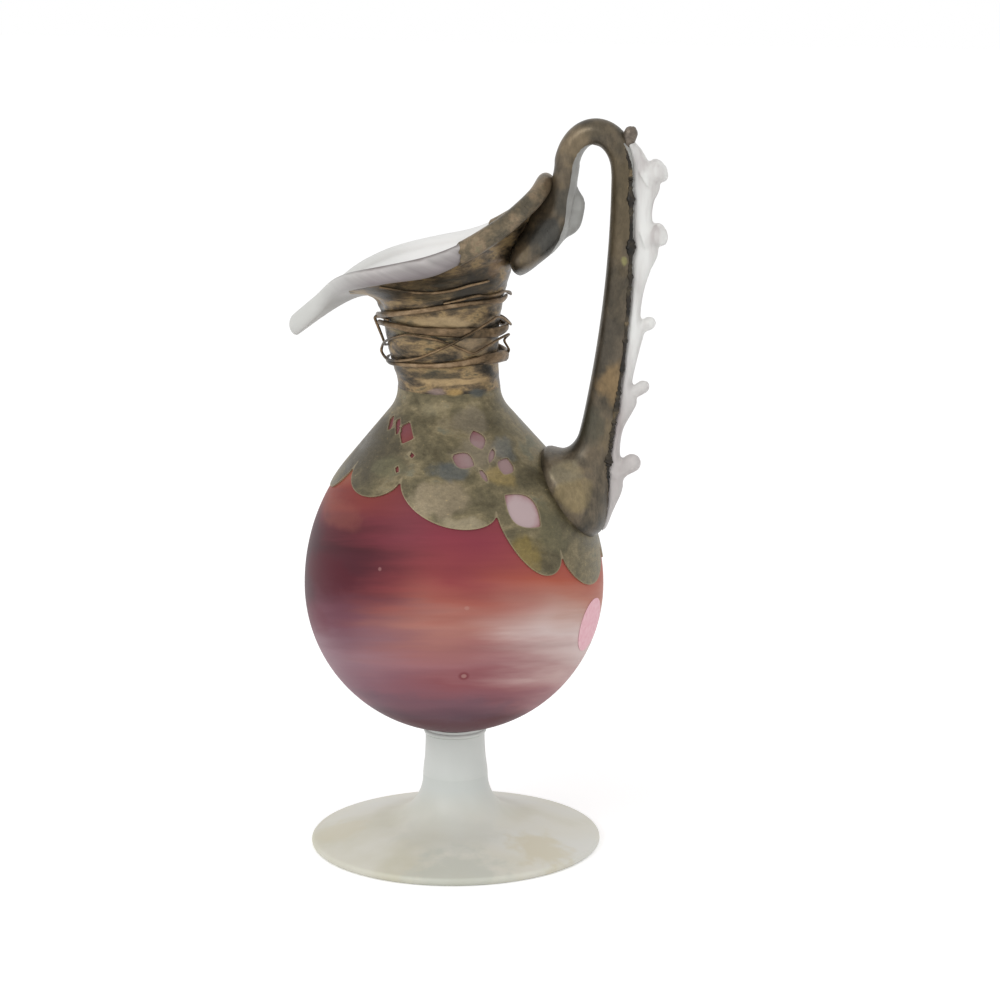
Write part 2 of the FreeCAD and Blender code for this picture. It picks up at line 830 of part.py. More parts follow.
def biarc(start, start_direction, end, end_direction):
    """Two arcs that join two points with given directions."""
    chord = end - start
    total = start_direction + end_direction
    spread = 2 * (1 - start_direction.dot(end_direction))
    reach = chord.dot(total)
    pull = chord.dot(chord) / (sqrt(reach ** 2 + spread * chord.dot(chord)) + reach)
    first_corner = start + start_direction * pull
    second_corner = end - end_direction * pull
    joint = (first_corner + second_corner) * 0.5
    return [arc_from_tangent(start, first_corner, joint), arc_from_tangent(joint, second_corner, end)]


def wound_tube(place, turns, radius):
    """Unbroken thread along a path given by turns round the axis."""
    quarters = round(turns * 4)
    knots = [place(quarter / 4) for quarter in range(quarters + 1)]
    directions = []
    for quarter in range(quarters + 1):
        direction = place(quarter / 4 + turn_step) - place(quarter / 4 - turn_step)
        directions.append(direction.normalize())
    edges = []
    for index in range(quarters):
        arcs = biarc(knots[index], directions[index], knots[index + 1], directions[index + 1])
        edges += [arc.toShape() for arc in arcs]
    side = directions[0].cross(Vector(0, 0, 1)).normalize()
    rise = directions[0].cross(side)
    corners = []
    for corner in range(thread_sides + 1):
        angle = 2 * pi * corner / thread_sides
        corners.append(knots[0] + (side * cos(angle) + rise * sin(angle)) * radius)
    return outward(Part.Wire(edges).makePipeShell([Part.makePolygon(corners)], True, False))


def thread_point(azimuth, height, stand):
    """Point at a height above the neck joint that stands off the metal skin."""
    z = neck_joint + height
    reach = max(wall_radius(azimuth + turn, z) for turn in thread_reach_turns)
    return turned_point(azimuth, reach + seat_clearance + skin + stand, z)


def winding_place(turn):
    azimuth = winding_start_azimuth + 360 * turn
    tilt = winding_tilt * cos(radians(azimuth)) * (1 - 2 * turn / winding_turns)
    return thread_point(azimuth, winding_start_height - winding_pitch * turn + tilt, thread_gap + thread_radius)


def top_thread_place(turn):
    height = top_thread_height + top_thread_sway * sin(2 * pi * turn)
    return thread_point(top_thread_start_azimuth + 360 * turn, height, top_thread_gap + fine_thread_radius)


def zigzag_place(turn):
    """Two turns that cross in front, the second one outside the first."""
    step_out = 2 * fine_thread_radius + crossing_gap
    stand = thread_gap + 2 * thread_radius + crossing_gap + fine_thread_radius + step_out * turn
    height = zigzag_height + zigzag_swing * cos(pi * turn)
    return thread_point(zigzag_start_azimuth + 360 * turn, height, stand)


def self_gap(place, turns, radius):
    """Least free gap between loops, measured on points over a third of a turn apart."""
    points = [place(step / gap_points) for step in range(round(turns * gap_points) + 1)]
    gaps = []
    for index, point in enumerate(points):
        for other in points[index + gap_points // 3:]:
            gaps.append(point.distanceToPoint(other) - 2 * radius)
    return min(gaps)


wound_threads = {
    "neck_thread_top": (top_thread_place, top_thread_turns, fine_thread_radius),
    "neck_thread_winding": (winding_place, winding_turns, thread_radius),
    "neck_thread_zigzag": (zigzag_place, zigzag_turns, fine_thread_radius),
}


# Paper dot stuck on the bulb's side


def make_price_dot():
    inner = bulb_outline(seat_clearance, 9, 5)
    outer = bulb_outline(seat_clearance + dot_thickness, 9, 5)
    shell = revolved(outer + inner[::-1], bulb_sides)
    latitude = radians(dot_latitude)
    normal = turned_point(dot_azimuth, cos(latitude), sin(latitude))
    level = turned_point(dot_azimuth + 90, 1, 0)
    uphill = normal.cross(level)
    centre = Vector(0, 0, bulb_centre) + normal * (bulb_radius - cut_overrun / 2)
    corners = []
    for corner in range(dot_sides + 1):
        angle = 2 * pi * corner / dot_sides
        corners.append(centre + (level * cos(angle) + uphill * sin(angle)) * dot_radius)
    return largest(shell.common(Part.Face(Part.makePolygon(corners)).extrude(normal * cut_overrun)))


def save(name, solid):
    box = solid.BoundBox
    print(name, "solids", len(solid.Solids), "valid", solid.isValid(), "volume", round(solid.Volume, 1),
          "x", round(box.XMin, 1), round(box.XMax, 1), "z", round(box.ZMin, 1), round(box.ZMax, 1))
    solid.exportStep("parts/" + name + ".step")


def save_glass(bulb_envelope, spout, handle, crest):
    save("foot", make_foot())
    save("stem", make_stem())
    save("stem_collar", make_stem_collar(bulb_envelope))
    save("bulb", make_bulb())
    save("neck_and_spout", spout)
    save("handle", handle)
    save("handle_crest", crest)


def save_metal(spout, handle, crest):
    lower_room = make_room(lower_pad)
    upper_room = make_room(loop[-2:] + upper_pad)
    save("shoulder_overlay", make_shoulder_overlay(lower_room))
    neck_overlay = make_neck_overlay([upper_room, spout])
    save("neck_overlay", neck_overlay)
    save("rim_overlay", make_rim_overlay([upper_room, spout, neck_overlay]))
    bulb_skin = make_bulb_envelope(seat_clearance)
    spout_skin = make_spout_envelope(seat_clearance)
    save("lower_pad_overlay", make_sleeve(lower_pad[1:], 0, 360, [bulb_skin, crest, handle]))
    save("grip_overlay", make_sleeve(lower_pad[-1:] + grip + loop[:3], 0, 360, [crest]))
    tip = make_crest_tip(crest, handle)
    save("crest_tip_overlay", tip)
    save("arch_overlay", make_sleeve(loop[2:] + upper_pad[:1], 180, 540, [crest, tip, spout_skin]))
    save("upper_pad_overlay", make_sleeve(upper_pad[:-1], 180, 360, [spout_skin, handle]))


def build():
    os.makedirs("parts", exist_ok=True)
    bulb_envelope = make_bulb_envelope()
    handle = make_handle(bulb_envelope, make_spout_envelope(0))
    crest = make_handle_crest(handle)
    spout = make_neck_and_spout()
    save_glass(bulb_envelope, spout, handle, crest)
    save_metal(spout, handle, crest)
    for name, (place, turns, radius) in wound_threads.items():
        print(name, "least gap to itself", round(self_gap(place, turns, radius), 3))
        save(name, wound_tube(place, turns, radius))
    save("price_dot", make_price_dot())


build()
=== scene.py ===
# %% [markdown]
# # A glass ewer with a pierced metal skin
# The ewer is blown glass: a flat foot, a short stem, a round bulb in streaked colours and
# a neck pulled out into a pouring spout. A looped handle with a knobbed clear crest
# joins the spout to the shoulder. A thin patinated metal skin covers the shoulder, the
# neck, the back of the rim and the handle, and wires are wound round the neck.
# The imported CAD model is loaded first. It is the frame that every piece is fitted to.

# %% Load the frame
from collections import namedtuple
from math import asin, atan2, cos, degrees, exp, hypot, pi, radians, sin, tan

import bmesh
import bpy
from mathutils import Matrix, Vector, kdtree, noise


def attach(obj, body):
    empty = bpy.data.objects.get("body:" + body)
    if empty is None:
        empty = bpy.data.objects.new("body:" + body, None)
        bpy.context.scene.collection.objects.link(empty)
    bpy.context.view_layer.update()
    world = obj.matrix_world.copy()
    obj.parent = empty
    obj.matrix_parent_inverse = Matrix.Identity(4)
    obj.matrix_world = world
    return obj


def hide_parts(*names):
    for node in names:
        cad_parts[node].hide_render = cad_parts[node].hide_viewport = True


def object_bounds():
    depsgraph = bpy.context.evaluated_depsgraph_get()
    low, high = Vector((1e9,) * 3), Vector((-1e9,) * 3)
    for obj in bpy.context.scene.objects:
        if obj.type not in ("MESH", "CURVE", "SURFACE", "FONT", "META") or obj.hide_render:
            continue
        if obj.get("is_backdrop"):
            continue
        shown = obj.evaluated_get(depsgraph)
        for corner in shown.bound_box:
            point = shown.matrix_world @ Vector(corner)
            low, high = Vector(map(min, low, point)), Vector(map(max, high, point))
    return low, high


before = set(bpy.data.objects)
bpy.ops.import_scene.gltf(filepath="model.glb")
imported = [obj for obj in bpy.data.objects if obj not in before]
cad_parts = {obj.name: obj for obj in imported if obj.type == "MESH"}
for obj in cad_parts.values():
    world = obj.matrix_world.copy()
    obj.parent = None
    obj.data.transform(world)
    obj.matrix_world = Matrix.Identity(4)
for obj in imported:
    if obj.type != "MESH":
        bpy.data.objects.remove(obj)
cad_low, cad_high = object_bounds()
print("nodes", sorted(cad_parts))
print("height", round((cad_high.z - cad_low.z) * 1000, 1), "mm")

# %% [markdown]
# The sizes are in millimetres, as a glass maker would write them down, and every mesh is
# scaled to metres once it is finished. They repeat the sizes of the CAD model, so each
# piece lands on the node that it stands for. `skin` is the metal's thickness and `seat`
# the small gap between it and the glass.

# %% Sizes in millimetres
MM = 0.001
foot_radius, foot_edge, foot_cone_height, foot_fillet, foot_height = 50.5, 3.0, 8.5, 16.0, 25.0
stem_bottom_radius, stem_top_radius, stem_top = 11.3, 10.3, 39.7
collar_radius, collar_thickness = 10.9, 1.9
bulb_radius, shoulder_radius, shoulder_angle = 51.6, 66.0, 40.7
neck_radius, neck_fillet, glass_wall = 16.95, 12.5, 3.2
bulb_centre = stem_top + collar_thickness + bulb_radius
spout_rise, lip_reach, side_reach, back_reach = 72.9, 58.5, 37.5, 34.4
neck_straight, neck_lean, neck_offset = 4.4, 1.5, 1.3
bead_height, bead_width = 7.4, 5.2
skin, seat = 0.5, 0.05

# %% [markdown]
# Smooth forms are easiest to describe by a few rows of a table with a smooth curve
# through them. `blend` gives the value of one column at any place between the rows.

# %% A smooth curve through table rows


def blend(rows, place, column=1):
    place = max(rows[0][0], min(rows[-1][0], place))
    index = 0
    while index < len(rows) - 2 and place > rows[index + 1][0]:
        index += 1
    low, high = rows[index], rows[index + 1]
    span, rise = high[0] - low[0], high[column] - low[column]

    def slope(row):
        if row == 0 or row == len(rows) - 1:
            return 0
        before, after = rows[row - 1], rows[row + 1]
        return (after[column] - before[column]) / (after[0] - before[0])

    t = (place - low[0]) / span
    start_bend, end_bend = slope(index) * span - rise, rise - slope(index + 1) * span
    return low[column] + rise * t + t * (1 - t) * (start_bend * (1 - t) + end_bend * t)


# %% [markdown]
# The outline of the bulb's upper side is an arc, a straight slope and a fillet into the
# neck. The same outline carries the glass and the metal skin, so it is a function with an
# offset: the skin is the same curve a little further out.

# %% The outline of the bulb and the neck


def arc(centre, radius, start, end, steps):
    angles = [radians(start + (end - start) * step / steps) for step in range(steps + 1)]
    return [(centre[0] + radius * cos(angle), centre[1] + radius * sin(angle)) for angle in angles]


def line(start, end, steps):
    """Points between two ends, without the ends."""
    return [tuple(a + (b - a) * step / steps for a, b in zip(start, end)) for step in range(1, steps)]


def upper_outline(offset, steps):
    angle, radius = radians(shoulder_angle), shoulder_radius + offset
    reach = bulb_radius - shoulder_radius
    start = (reach + radius * cos(angle), bulb_centre + radius * sin(angle))
    end_radius = neck_radius + neck_fillet * (1 - cos(angle)) + offset * cos(angle)
    end = (end_radius, start[1] + (start[0] - end_radius) / tan(angle))
    fillet = neck_fillet - offset
    centre = (neck_radius + neck_fillet, end[1] + fillet * sin(angle))
    return (arc((reach, bulb_centre), radius, 0, shoulder_angle, steps) + line(start, end, max(2, steps // 3))
            + arc(centre, fillet, 180 + shoulder_angle, 180, max(3, steps // 2)))


side_outline = upper_outline(0, 30)
neck_joint = side_outline[-1][1]
shift_rows = [(0, 0), (1, 1), (1.25, 1), (1.8, 0)]


def side_radius(height):
    """Radius of the bulb's upper side at a height."""
    for low, high in zip(side_outline, side_outline[1:]):
        if height <= high[1]:
            return low[0] + (high[0] - low[0]) * (height - low[1]) / (high[1] - low[1])
    return neck_radius


def neck_shift(height):
    """How far the hand-blown neck stands off the bulb's axis at a height."""
    share = (height - bulb_centre) / (neck_joint - bulb_centre)
    return -neck_offset * blend(shift_rows, share)


def at(azimuth, radius, height):
    """Point at an azimuth from +X towards -Y, on the neck's shifted axis."""
    angle = radians(azimuth)
    return Vector((radius * cos(angle) + neck_shift(height), -radius * sin(angle), height))


print("neck joint at", round(neck_joint, 1), "mm")

# %% [markdown]
# The spout's wall is a curve in each upright plane through the axis. A table says how far
# the rim reaches out, how high it lies, how its bead is sized and rolled and how the wall
# flares at each azimuth. The rolled rim is part of an ellipse. `spout_point` gives a
# point of the whole wall: 0 to 1 runs up the outside, 1 to 2 over the rolled rim, and 2
# to 3 down the inside. `build_up` is metal that has gathered on the neck.

# %% The wall of the neck and spout
REACH, HEIGHT, BEAD_SIZE, BEAD_END, SLOPE, LIFT, PULL = range(1, 8)
rim_rows = [
    (0, back_reach, 1.000, 0.75, 190, 64, 0.46, 0.25),
    (20, side_reach * 0.920, 0.945, 0.78, 190, 60, 0.44, 0.235),
    (45, side_reach * 0.870, 0.835, 0.86, 189, 52, 0.40, 0.21),
    (71, side_reach * 0.833, 0.733, 0.93, 188, 43, 0.35, 0.185),
    (90, side_reach * 0.880, 0.680, 1.00, 185, 36, 0.31, 0.17),
    (112, side_reach, 0.636, 0.86, 182, 29, 0.32, 0.16),
    (130, side_reach * 1.080, 0.598, 0.84, 178, 22, 0.36, 0.175),
    (145, side_reach * 1.100, 0.560, 0.82, 172, 11, 0.41, 0.195),
    (158, side_reach * 1.140, 0.512, 0.84, 155, -8, 0.46, 0.22),
    (168, lip_reach * 0.800, 0.436, 0.92, 140, -24, 0.52, 0.25),
    (180, lip_reach * 0.957, 0.320, 1.02, 125, -36, 0.57, 0.28),
]
bead_start, straight_share, halvings = -100, 0.08, 22
gathered, gathered_azimuth, gathered_spread = 2.7, 172, 48
gathered_rows = [(0, 0), (4, 0.25), (12, 1), (26, 1), (33, 0.25), (38, 0)]


def rim_value(azimuth, column):
    return blend(rim_rows, abs((azimuth + 180) % 360 - 180), column)


def bead_point(azimuth, t, offset=0):
    size = rim_value(azimuth, BEAD_SIZE)
    half_height, half_width = bead_height * size / 2, bead_width * (1 + size) / 4
    x = rim_value(azimuth, REACH) - half_width
    z = neck_joint + spout_rise * rim_value(azimuth, HEIGHT) - half_height
    angle = radians(bead_start + (rim_value(azimuth, BEAD_END) - bead_start) * t)
    return x + (half_width + offset) * cos(angle), z + (half_height + offset) * sin(angle)


def wall_corners(azimuth, offset, last=None):
    """Corners of the wall's curve in one upright plane, moved out by an offset."""
    slope = radians(rim_value(azimuth, SLOPE))
    lift, pull = spout_rise * rim_value(azimuth, LIFT), spout_rise * rim_value(azimuth, PULL)
    start = (neck_radius, neck_joint + neck_straight)
    end = bead_point(azimuth, 0)
    corners = [start, (start[0] - cos(radians(azimuth)) * neck_lean, start[1] + lift),
               (end[0] - pull * cos(slope), end[1] - pull * sin(slope)), end]
    normals = []
    for (x0, z0), (x1, z1) in zip(corners, corners[1:]):
        length = hypot(x1 - x0, z1 - z0)
        normals.append(((z1 - z0) / length, (x0 - x1) / length))
    moved = []
    for index, (x, z) in enumerate(corners):
        before, after = normals[max(index - 1, 0)], normals[min(index, 2)]
        scale = offset / (1 + before[0] * after[0] + before[1] * after[1])
        moved.append((x + (before[0] + after[0]) * scale, z + (before[1] + after[1]) * scale))
    return moved[:3] + [last or moved[3]]


def bezier(corners, t):
    weights = ((1 - t) ** 3, 3 * t * (1 - t) ** 2, 3 * t * t * (1 - t), t ** 3)
    return tuple(sum(w * c[axis] for w, c in zip(weights, corners)) for axis in (0, 1))


def wall_point(azimuth, t, offset=0, last=None):
    """Point on the wall's outside: a short straight neck, then the flare."""
    if t < straight_share:
        return neck_radius + offset, neck_joint + neck_straight * t / straight_share
    return bezier(wall_corners(azimuth, offset, last), (t - straight_share) / (1 - straight_share))


def spout_point(azimuth, s, offset=0):
    if s <= 1:
        return wall_point(azimuth, s, offset)
    if s <= 2:
        return bead_point(azimuth, s - 1, offset)
    return wall_point(azimuth, max(0, 3 - s), -glass_wall, bead_point(azimuth, 1))


def spout_share(azimuth, height):
    """Place up the outside at which the wall reaches a height, found by halving."""
    low, high = 0, 1
    for _ in range(halvings):
        middle = (low + high) / 2
        low, high = (middle, high) if wall_point(azimuth, middle)[1] < height else (low, middle)
    return low


def build_up(azimuth, height):
    """Extra thickness of the metal that has gathered under the lip's side of the neck."""
    turn = (azimuth - gathered_azimuth + 180) % 360 - 180
    return gathered * exp(-(turn / gathered_spread) ** 2) * blend(gathered_rows, height)


def neck_surface(azimuth, height, offset):
    """Point over the neck or the shoulder at a height above the neck joint."""
    z = neck_joint + height
    radius = wall_point(azimuth, spout_share(azimuth, z))[0] if height > 0 else side_radius(z)
    return at(azimuth, radius + offset + build_up(azimuth, height), z)


# %% [markdown]
# Small helpers turn these curves into meshes. `sheet` starts from the grid operator and
# lays each corner at a place on the surface, which suits pulled glass better than a spin
# because no two upright sections of the spout are alike. `turned` draws an outline and
# spins it, which suits the foot, the stem and the bulb. `closed` makes a solid form of a
# sheet and `thickened` a plate. `piece` scales a mesh to metres, hangs it on the frame
# and hides the CAD node that it stands for.

# %% Helpers for meshes
weld = 0.002


def sheet(columns, rows, place, bm=None):
    """Grid of cells with its corners at place(u, v), where u and v run from 0 to 1."""
    bm = bmesh.new() if bm is None else bm
    for vert in bmesh.ops.create_grid(bm, x_segments=columns, y_segments=rows, size=0.5)["verts"]:
        vert.co = place(vert.co.x + 0.5, vert.co.y + 0.5)
    return bm


def welded(bm):
    """Merge the corners along a seam and turn the faces outwards."""
    bmesh.ops.remove_doubles(bm, verts=bm.verts, dist=weld)
    bmesh.ops.recalc_face_normals(bm, faces=bm.faces)
    return bm


def turned(outline, steps):
    bm = bmesh.new()
    verts = [bm.verts.new((radius, 0, height)) for radius, height in outline]
    edges = [bm.edges.new(pair) for pair in zip(verts, verts[1:])]
    bmesh.ops.spin(bm, geom=verts + edges, axis=(0, 0, 1), cent=(0, 0, 0), steps=steps, angle=2 * pi,
                   use_merge=True)
    return welded(bm)


def closed(bm):
    """Merge seams, fill open ends and turn the faces outwards."""
    bmesh.ops.remove_doubles(bm, verts=bm.verts, dist=weld)
    bmesh.ops.holes_fill(bm, edges=bm.edges, sides=0)
    bmesh.ops.recalc_face_normals(bm, faces=bm.faces)
    return bm


def thickened(bm, thickness):
    """Turn an open sheet into a plate by extruding it outwards along its own normals."""
    welded(bm)
    outward = bm.verts.layers.float_vector.new("outward")
    for vert in bm.verts:
        vert[outward] = vert.normal
    made = bmesh.ops.extrude_face_region(bm, geom=bm.faces[:], use_keep_orig=True)
    for vert in made["geom"]:
        if isinstance(vert, bmesh.types.BMVert):
            vert.co += vert[outward] * thickness
    bmesh.ops.recalc_face_normals(bm, faces=bm.faces)
    return bm


pieces = {}


def piece(name, bm, nodes, sharp=40):
    bmesh.ops.scale(bm, vec=(MM, MM, MM), verts=bm.verts)
    mesh = bpy.data.meshes.new(name)
    bm.to_mesh(mesh)
    bm.free()
    mesh.polygons.foreach_set("use_smooth", [True] * len(mesh.polygons))
    mesh.set_sharp_from_angle(angle=radians(sharp))
    made = bpy.data.objects.new(name, mesh)
    bpy.context.scene.collection.objects.link(made)
    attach(made, "root")
    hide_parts(*nodes)
    pieces[name] = made
    print(name, len(mesh.polygons), "faces")
    return made


# %% [markdown]
# The foot is a flat disc drawn up into a cone, with a soft fillet into the stem and a
# fire-polished round edge. Foot, stem and collar are turned outlines. The collar's top is
# dished, because the bulb sits in it.

# %% Foot, stem and collar
underside_ring, edge_end = 20, 78
edge = foot_edge / 2
outline = [(0, 0), (underside_ring, 0)] + arc((foot_radius - edge, edge), edge, -90, edge_end, 10)
fillet_centre = (stem_bottom_radius + foot_fillet, foot_cone_height + foot_fillet)
outline += line(outline[-1], (fillet_centre[0], foot_cone_height), 4)
outline += arc(fillet_centre, foot_fillet, 270, 180, 16)
outline += [(stem_bottom_radius, foot_height), (0, foot_height)]
piece("foot_glass", turned(outline, 128), ["foot"])

stem_rows, steps = [(0, stem_bottom_radius), (0.45, 10.6), (1, stem_top_radius)], 12
outline = [(blend(stem_rows, t / steps), foot_height + (stem_top - foot_height) * t / steps)
           for t in range(steps + 1)]
piece("stem_glass", turned([(0, foot_height)] + outline + [(0, stem_top)], 96), ["stem"])

dish_inset, dish_edge, dish_middle = 0.4, 2.6, 2.1
edge = collar_thickness / 2
outline = [(0, stem_top)] + arc((collar_radius - edge, stem_top + edge), edge, -90, 60, 8)
outline += [(collar_radius - dish_inset, stem_top + dish_edge), (0, stem_top + dish_middle)]
piece("collar_glass", turned(outline, 96), ["stem_collar"])

# %% [markdown]
# The bulb is a blown bubble: an outer and an inner outline spun together, so that it is
# hollow and open at the neck. The neck stands a little off the bulb's axis, as on many
# hand-blown pieces, so the upper half is moved over by `neck_shift`.

# %% Bulb
outer = arc((0, bulb_centre), bulb_radius, -90, 0, 36)[:-1] + upper_outline(0, 30)
inner = arc((0, bulb_centre), bulb_radius - glass_wall, -90, 0, 18)[:-1] + upper_outline(-glass_wall, 15)
bm = turned(outer + inner[::-1], 144)
for vert in bm.verts:
    if vert.co.z > bulb_centre:
        vert.co.x += neck_shift(vert.co.z)
piece("bulb_glass", bm, ["bulb"], sharp=60)

# %% [markdown]
# The neck and spout are one wall of pulled glass. A grid is wrapped round the axis along
# the outside, over the rolled rim and down the inside, and its seams are merged.

# %% Neck and spout
bm = sheet(180, 96, lambda u, v: Vector((u, v, 0)))
wall_place = bm.verts.layers.float.new("wall_place")
for vert in bm.verts:
    azimuth, s = 180 - 360 * vert.co.x, 3 * vert.co.y
    vert[wall_place] = s
    vert.co = at(azimuth, *spout_point(azimuth, s))
bmesh.ops.remove_doubles(bm, verts=bm.verts, dist=weld)
bmesh.ops.bridge_loops(bm, edges=[e for e in bm.edges if e.is_boundary])
bmesh.ops.recalc_face_normals(bm, faces=bm.faces)
piece("spout_glass", bm, ["neck_and_spout"], sharp=70)

# %% [markdown]
# The handle is one pulled rod. It starts as a round pad on the shoulder, rises as a grip
# that leans in, loops over and ends in a flattened pad pressed on the back of the
# spout. Each row of the table is an outline across the rod: its centre, the tilt of its
# in-plane direction, and its half sizes.

# %% The handle's rows
limb_radius, grip_radius, loop_span, arch_height, loop_rise = 4.0, 5.8, 19.6, 13.6, 18.6
pad_latitude, pad_radius, upper_pad_width, upper_pad_thickness = 31.0, 16.6, 13.5, 7.2
left_limb_x = back_reach + 3 * seat + 2 * skin + limb_radius
right_limb_x = left_limb_x + loop_span
arch_base = neck_joint + spout_rise + loop_rise - arch_height - limb_radius
X, Z, TILT, THICK, WIDE = range(1, 6)
handle_rows = []


def handle_row(x, z, tilt, half_thickness, half_width=None):
    handle_rows.append((len(handle_rows), x, z, tilt, half_thickness, half_width or half_thickness))


normal = radians(pad_latitude)
foot_x = bulb_radius - shoulder_radius + shoulder_radius * cos(normal)
foot_z = bulb_centre + shoulder_radius * sin(normal)
lower_pad = [(-0.30, 0.00, 0.96, 0), (0.03, 0.06, 1.00, 5), (0.25, 0.15, 0.83, 12), (0.45, 0.27, 0.63, 20),
             (0.68, 0.46, 0.45, 31), (0.92, 0.66, 0.37, 41)]
for depth, slide, size, turn in lower_pad:
    handle_row(foot_x + pad_radius * (depth * cos(normal) - slide * sin(normal)),
               foot_z + pad_radius * (depth * sin(normal) + slide * cos(normal)),
               pad_latitude - 90 + turn, pad_radius * size)
pad_x, pad_z = handle_rows[-1][1:3]
top = arch_base - limb_radius
full_drop, lean = top - pad_z, right_limb_x - pad_x
for step in range(8, -1, -1):
    drop = (full_drop - grip_radius) * step / 8
    handle_row(right_limb_x - lean * (drop / full_drop) ** 2, top - drop,
               -degrees(atan2(2 * lean * drop, full_drop ** 2)),
               limb_radius + (grip_radius - limb_radius) * drop / full_drop)
loop_start = len(handle_rows)
for step in range(11):
    angle = pi * step / 10
    handle_row((left_limb_x + right_limb_x) / 2 + loop_span / 2 * cos(angle),
               arch_base + arch_height * sin(angle),
               degrees(atan2(sin(angle) * loop_span / 2, cos(angle) * arch_height)), limb_radius)
upper_start = len(handle_rows)
upper_pad = [(0.838, 1.15, 0.00, 0.61, 0.34, -14), (0.803, 0.86, 0.38, 0.92, 0.60, -26),
             (0.716, 0.70, 0.30, 0.94, 0.90, -23), (0.657, 0.54, 0.20, 0.78, 1.00, -26),
             (0.605, 0.44, 0.10, 0.58, 0.82, -33), (0.562, 0.40, 0.04, 0.30, 0.40, -42),
             (0.556, 0.40, 0.05, 0.04, 0.05, -44)]
for share, distance, drop, thickness, width, tilt in upper_pad:
    z = neck_joint + spout_rise * share
    radius = wall_point(0, spout_share(0, z))[0]
    handle_row(at(0, radius, z).x + upper_pad_thickness * distance, z - upper_pad_thickness * drop,
               tilt + 180, upper_pad_thickness * thickness, upper_pad_width * width)
last_row = len(handle_rows) - 1
print("handle rows", last_row + 1, "loop from", loop_start, "upper pad from", upper_start)

# %% [markdown]
# `limb` gives a point on the rod at a place along it and an angle round it, so the glass
# rod, its metal sleeves and the crusty seam beside the crest all come from one surface.
# Where the rod lies on the spout it bulges, mostly on the far side.

# %% Handle glass
bulge_height, bulge_spread, bulge_far, bulge_outer = 61.5, 6.2, 11.5, 2.6


def limb(place, angle, offset=0):
    x, z, tilt, thick, wide = (blend(handle_rows, place, column) for column in (X, Z, TILT, THICK, WIDE))
    turn, tilt = radians(angle), radians(tilt)
    if place > loop_start + 6:
        bulge = exp(-((z - neck_joint - bulge_height) / bulge_spread) ** 4)
        inner, far = -cos(turn), max(0, sin(turn))
        thick += bulge * (bulge_far * inner * far if inner > 0 else -bulge_outer * inner)
    across, side = (thick + offset) * cos(turn), (wide + offset) * sin(turn)
    return Vector((x + across * cos(tilt), side, z + across * sin(tilt)))


glass = sheet(32, 300, lambda u, v: limb(last_row * v, 360 * u))
piece("handle_glass", closed(glass), ["handle"])

# %% [markdown]
# The crest is a clear strip laid along the outside of the grip, with five knobs pinched
# out of it while it was soft. The strip and the knobs are separate closed forms here, and
# a voxel remesh melts them into one, as the heat did.

# %% Crest
crest_half_width, crest_half_thickness, crest_lift, melt_size = 3.0, 3.6, 0.55, 0.55
swell = [
    (0, 0.20), (0.06, 0.40), (0.13, 0.95), (0.17, 0.80), (0.21, 0.45), (0.27, 0.45), (0.32, 0.85),
    (0.345, 1.0), (0.375, 0.55), (0.42, 0.55), (0.49, 0.75), (0.52, 0.85), (0.55, 0.55), (0.62, 0.60),
    (0.68, 0.95), (0.72, 1.35), (0.765, 1.3), (0.81, 0.95), (0.85, 1.05), (0.88, 1.4), (0.92, 1.3),
    (0.95, 0.75), (0.98, 0.5), (1, 0.3)]
knobs = [
    (0.150, 0.80, 1.15, 36), (0.350, 0.58, 1.0, 36), (0.522, 0.58, 0.88, 32), (0.757, 1.02, 0.90, 20),
    (0.908, 1.08, 0.90, 32)]
knob_rows = [(0, 1.15), (0.28, 0.86), (0.50, 0.92), (0.72, 1.0), (0.90, 0.78), (1.0, 0.3)]
knob_radius, knob_length = 4.0, 9.0
crest_first, crest_last = 1, loop_start + 2
lengths = [0]
for row in range(crest_first, crest_last):
    lengths.append(lengths[-1] + (limb(row + 1, 0) - limb(row, 0)).length)


def crest_place(share):
    """Place along the handle's rows at a share of the crest's length."""
    reach = share * lengths[-1]
    index = max(i for i in range(len(lengths) - 1) if lengths[i] <= reach)
    return crest_first + index + (reach - lengths[index]) / (lengths[index + 1] - lengths[index])


def crest_point(share, angle, scale=1):
    place = crest_place(share)
    base, tilt = limb(place, 0), radians(blend(handle_rows, place, TILT))
    half = crest_half_thickness * blend(swell, share)
    across = half * crest_lift + half * scale * cos(angle)
    return base + Vector((across * cos(tilt), crest_half_width * scale * sin(angle), across * sin(tilt)))


bm = sheet(16, 90, lambda u, v: crest_point(v, 2 * pi * u))
for share, size, length, rise in knobs:
    base, rise = crest_point(share, 0, 0), radians(rise)
    along, level = Vector((cos(rise), 0, sin(rise))), Vector((sin(rise), 0, -cos(rise)))

    def knob(u, v):
        radius, angle = knob_radius * size * blend(knob_rows, v), 2 * pi * u
        ring = level * cos(angle) + Vector((0, 1, 0)) * sin(angle)
        return base + along * (knob_length * length * v) + ring * radius

    sheet(16, 14, knob, bm)
crest = piece("crest_glass", closed(bm), ["handle_crest"], sharp=180)
remesh = crest.modifiers.new("melt", "REMESH")
remesh.mode, remesh.voxel_size, remesh.use_smooth_shade = "VOXEL", melt_size * MM, True
smooth = crest.modifiers.new("fire polish", "SMOOTH")
smooth.factor, smooth.iterations = 0.5, 6

# %% [markdown]
# The metal on the shoulder is one pierced sheet: its lower edge is cut into round lobes,
# and petals, windows and slots are cut out of it. A table gives each opening's azimuth,
# its share of the shoulder's height, its turn from upright, its length and its width.
# The rules for inside and outside are written first, with points along every cut edge.

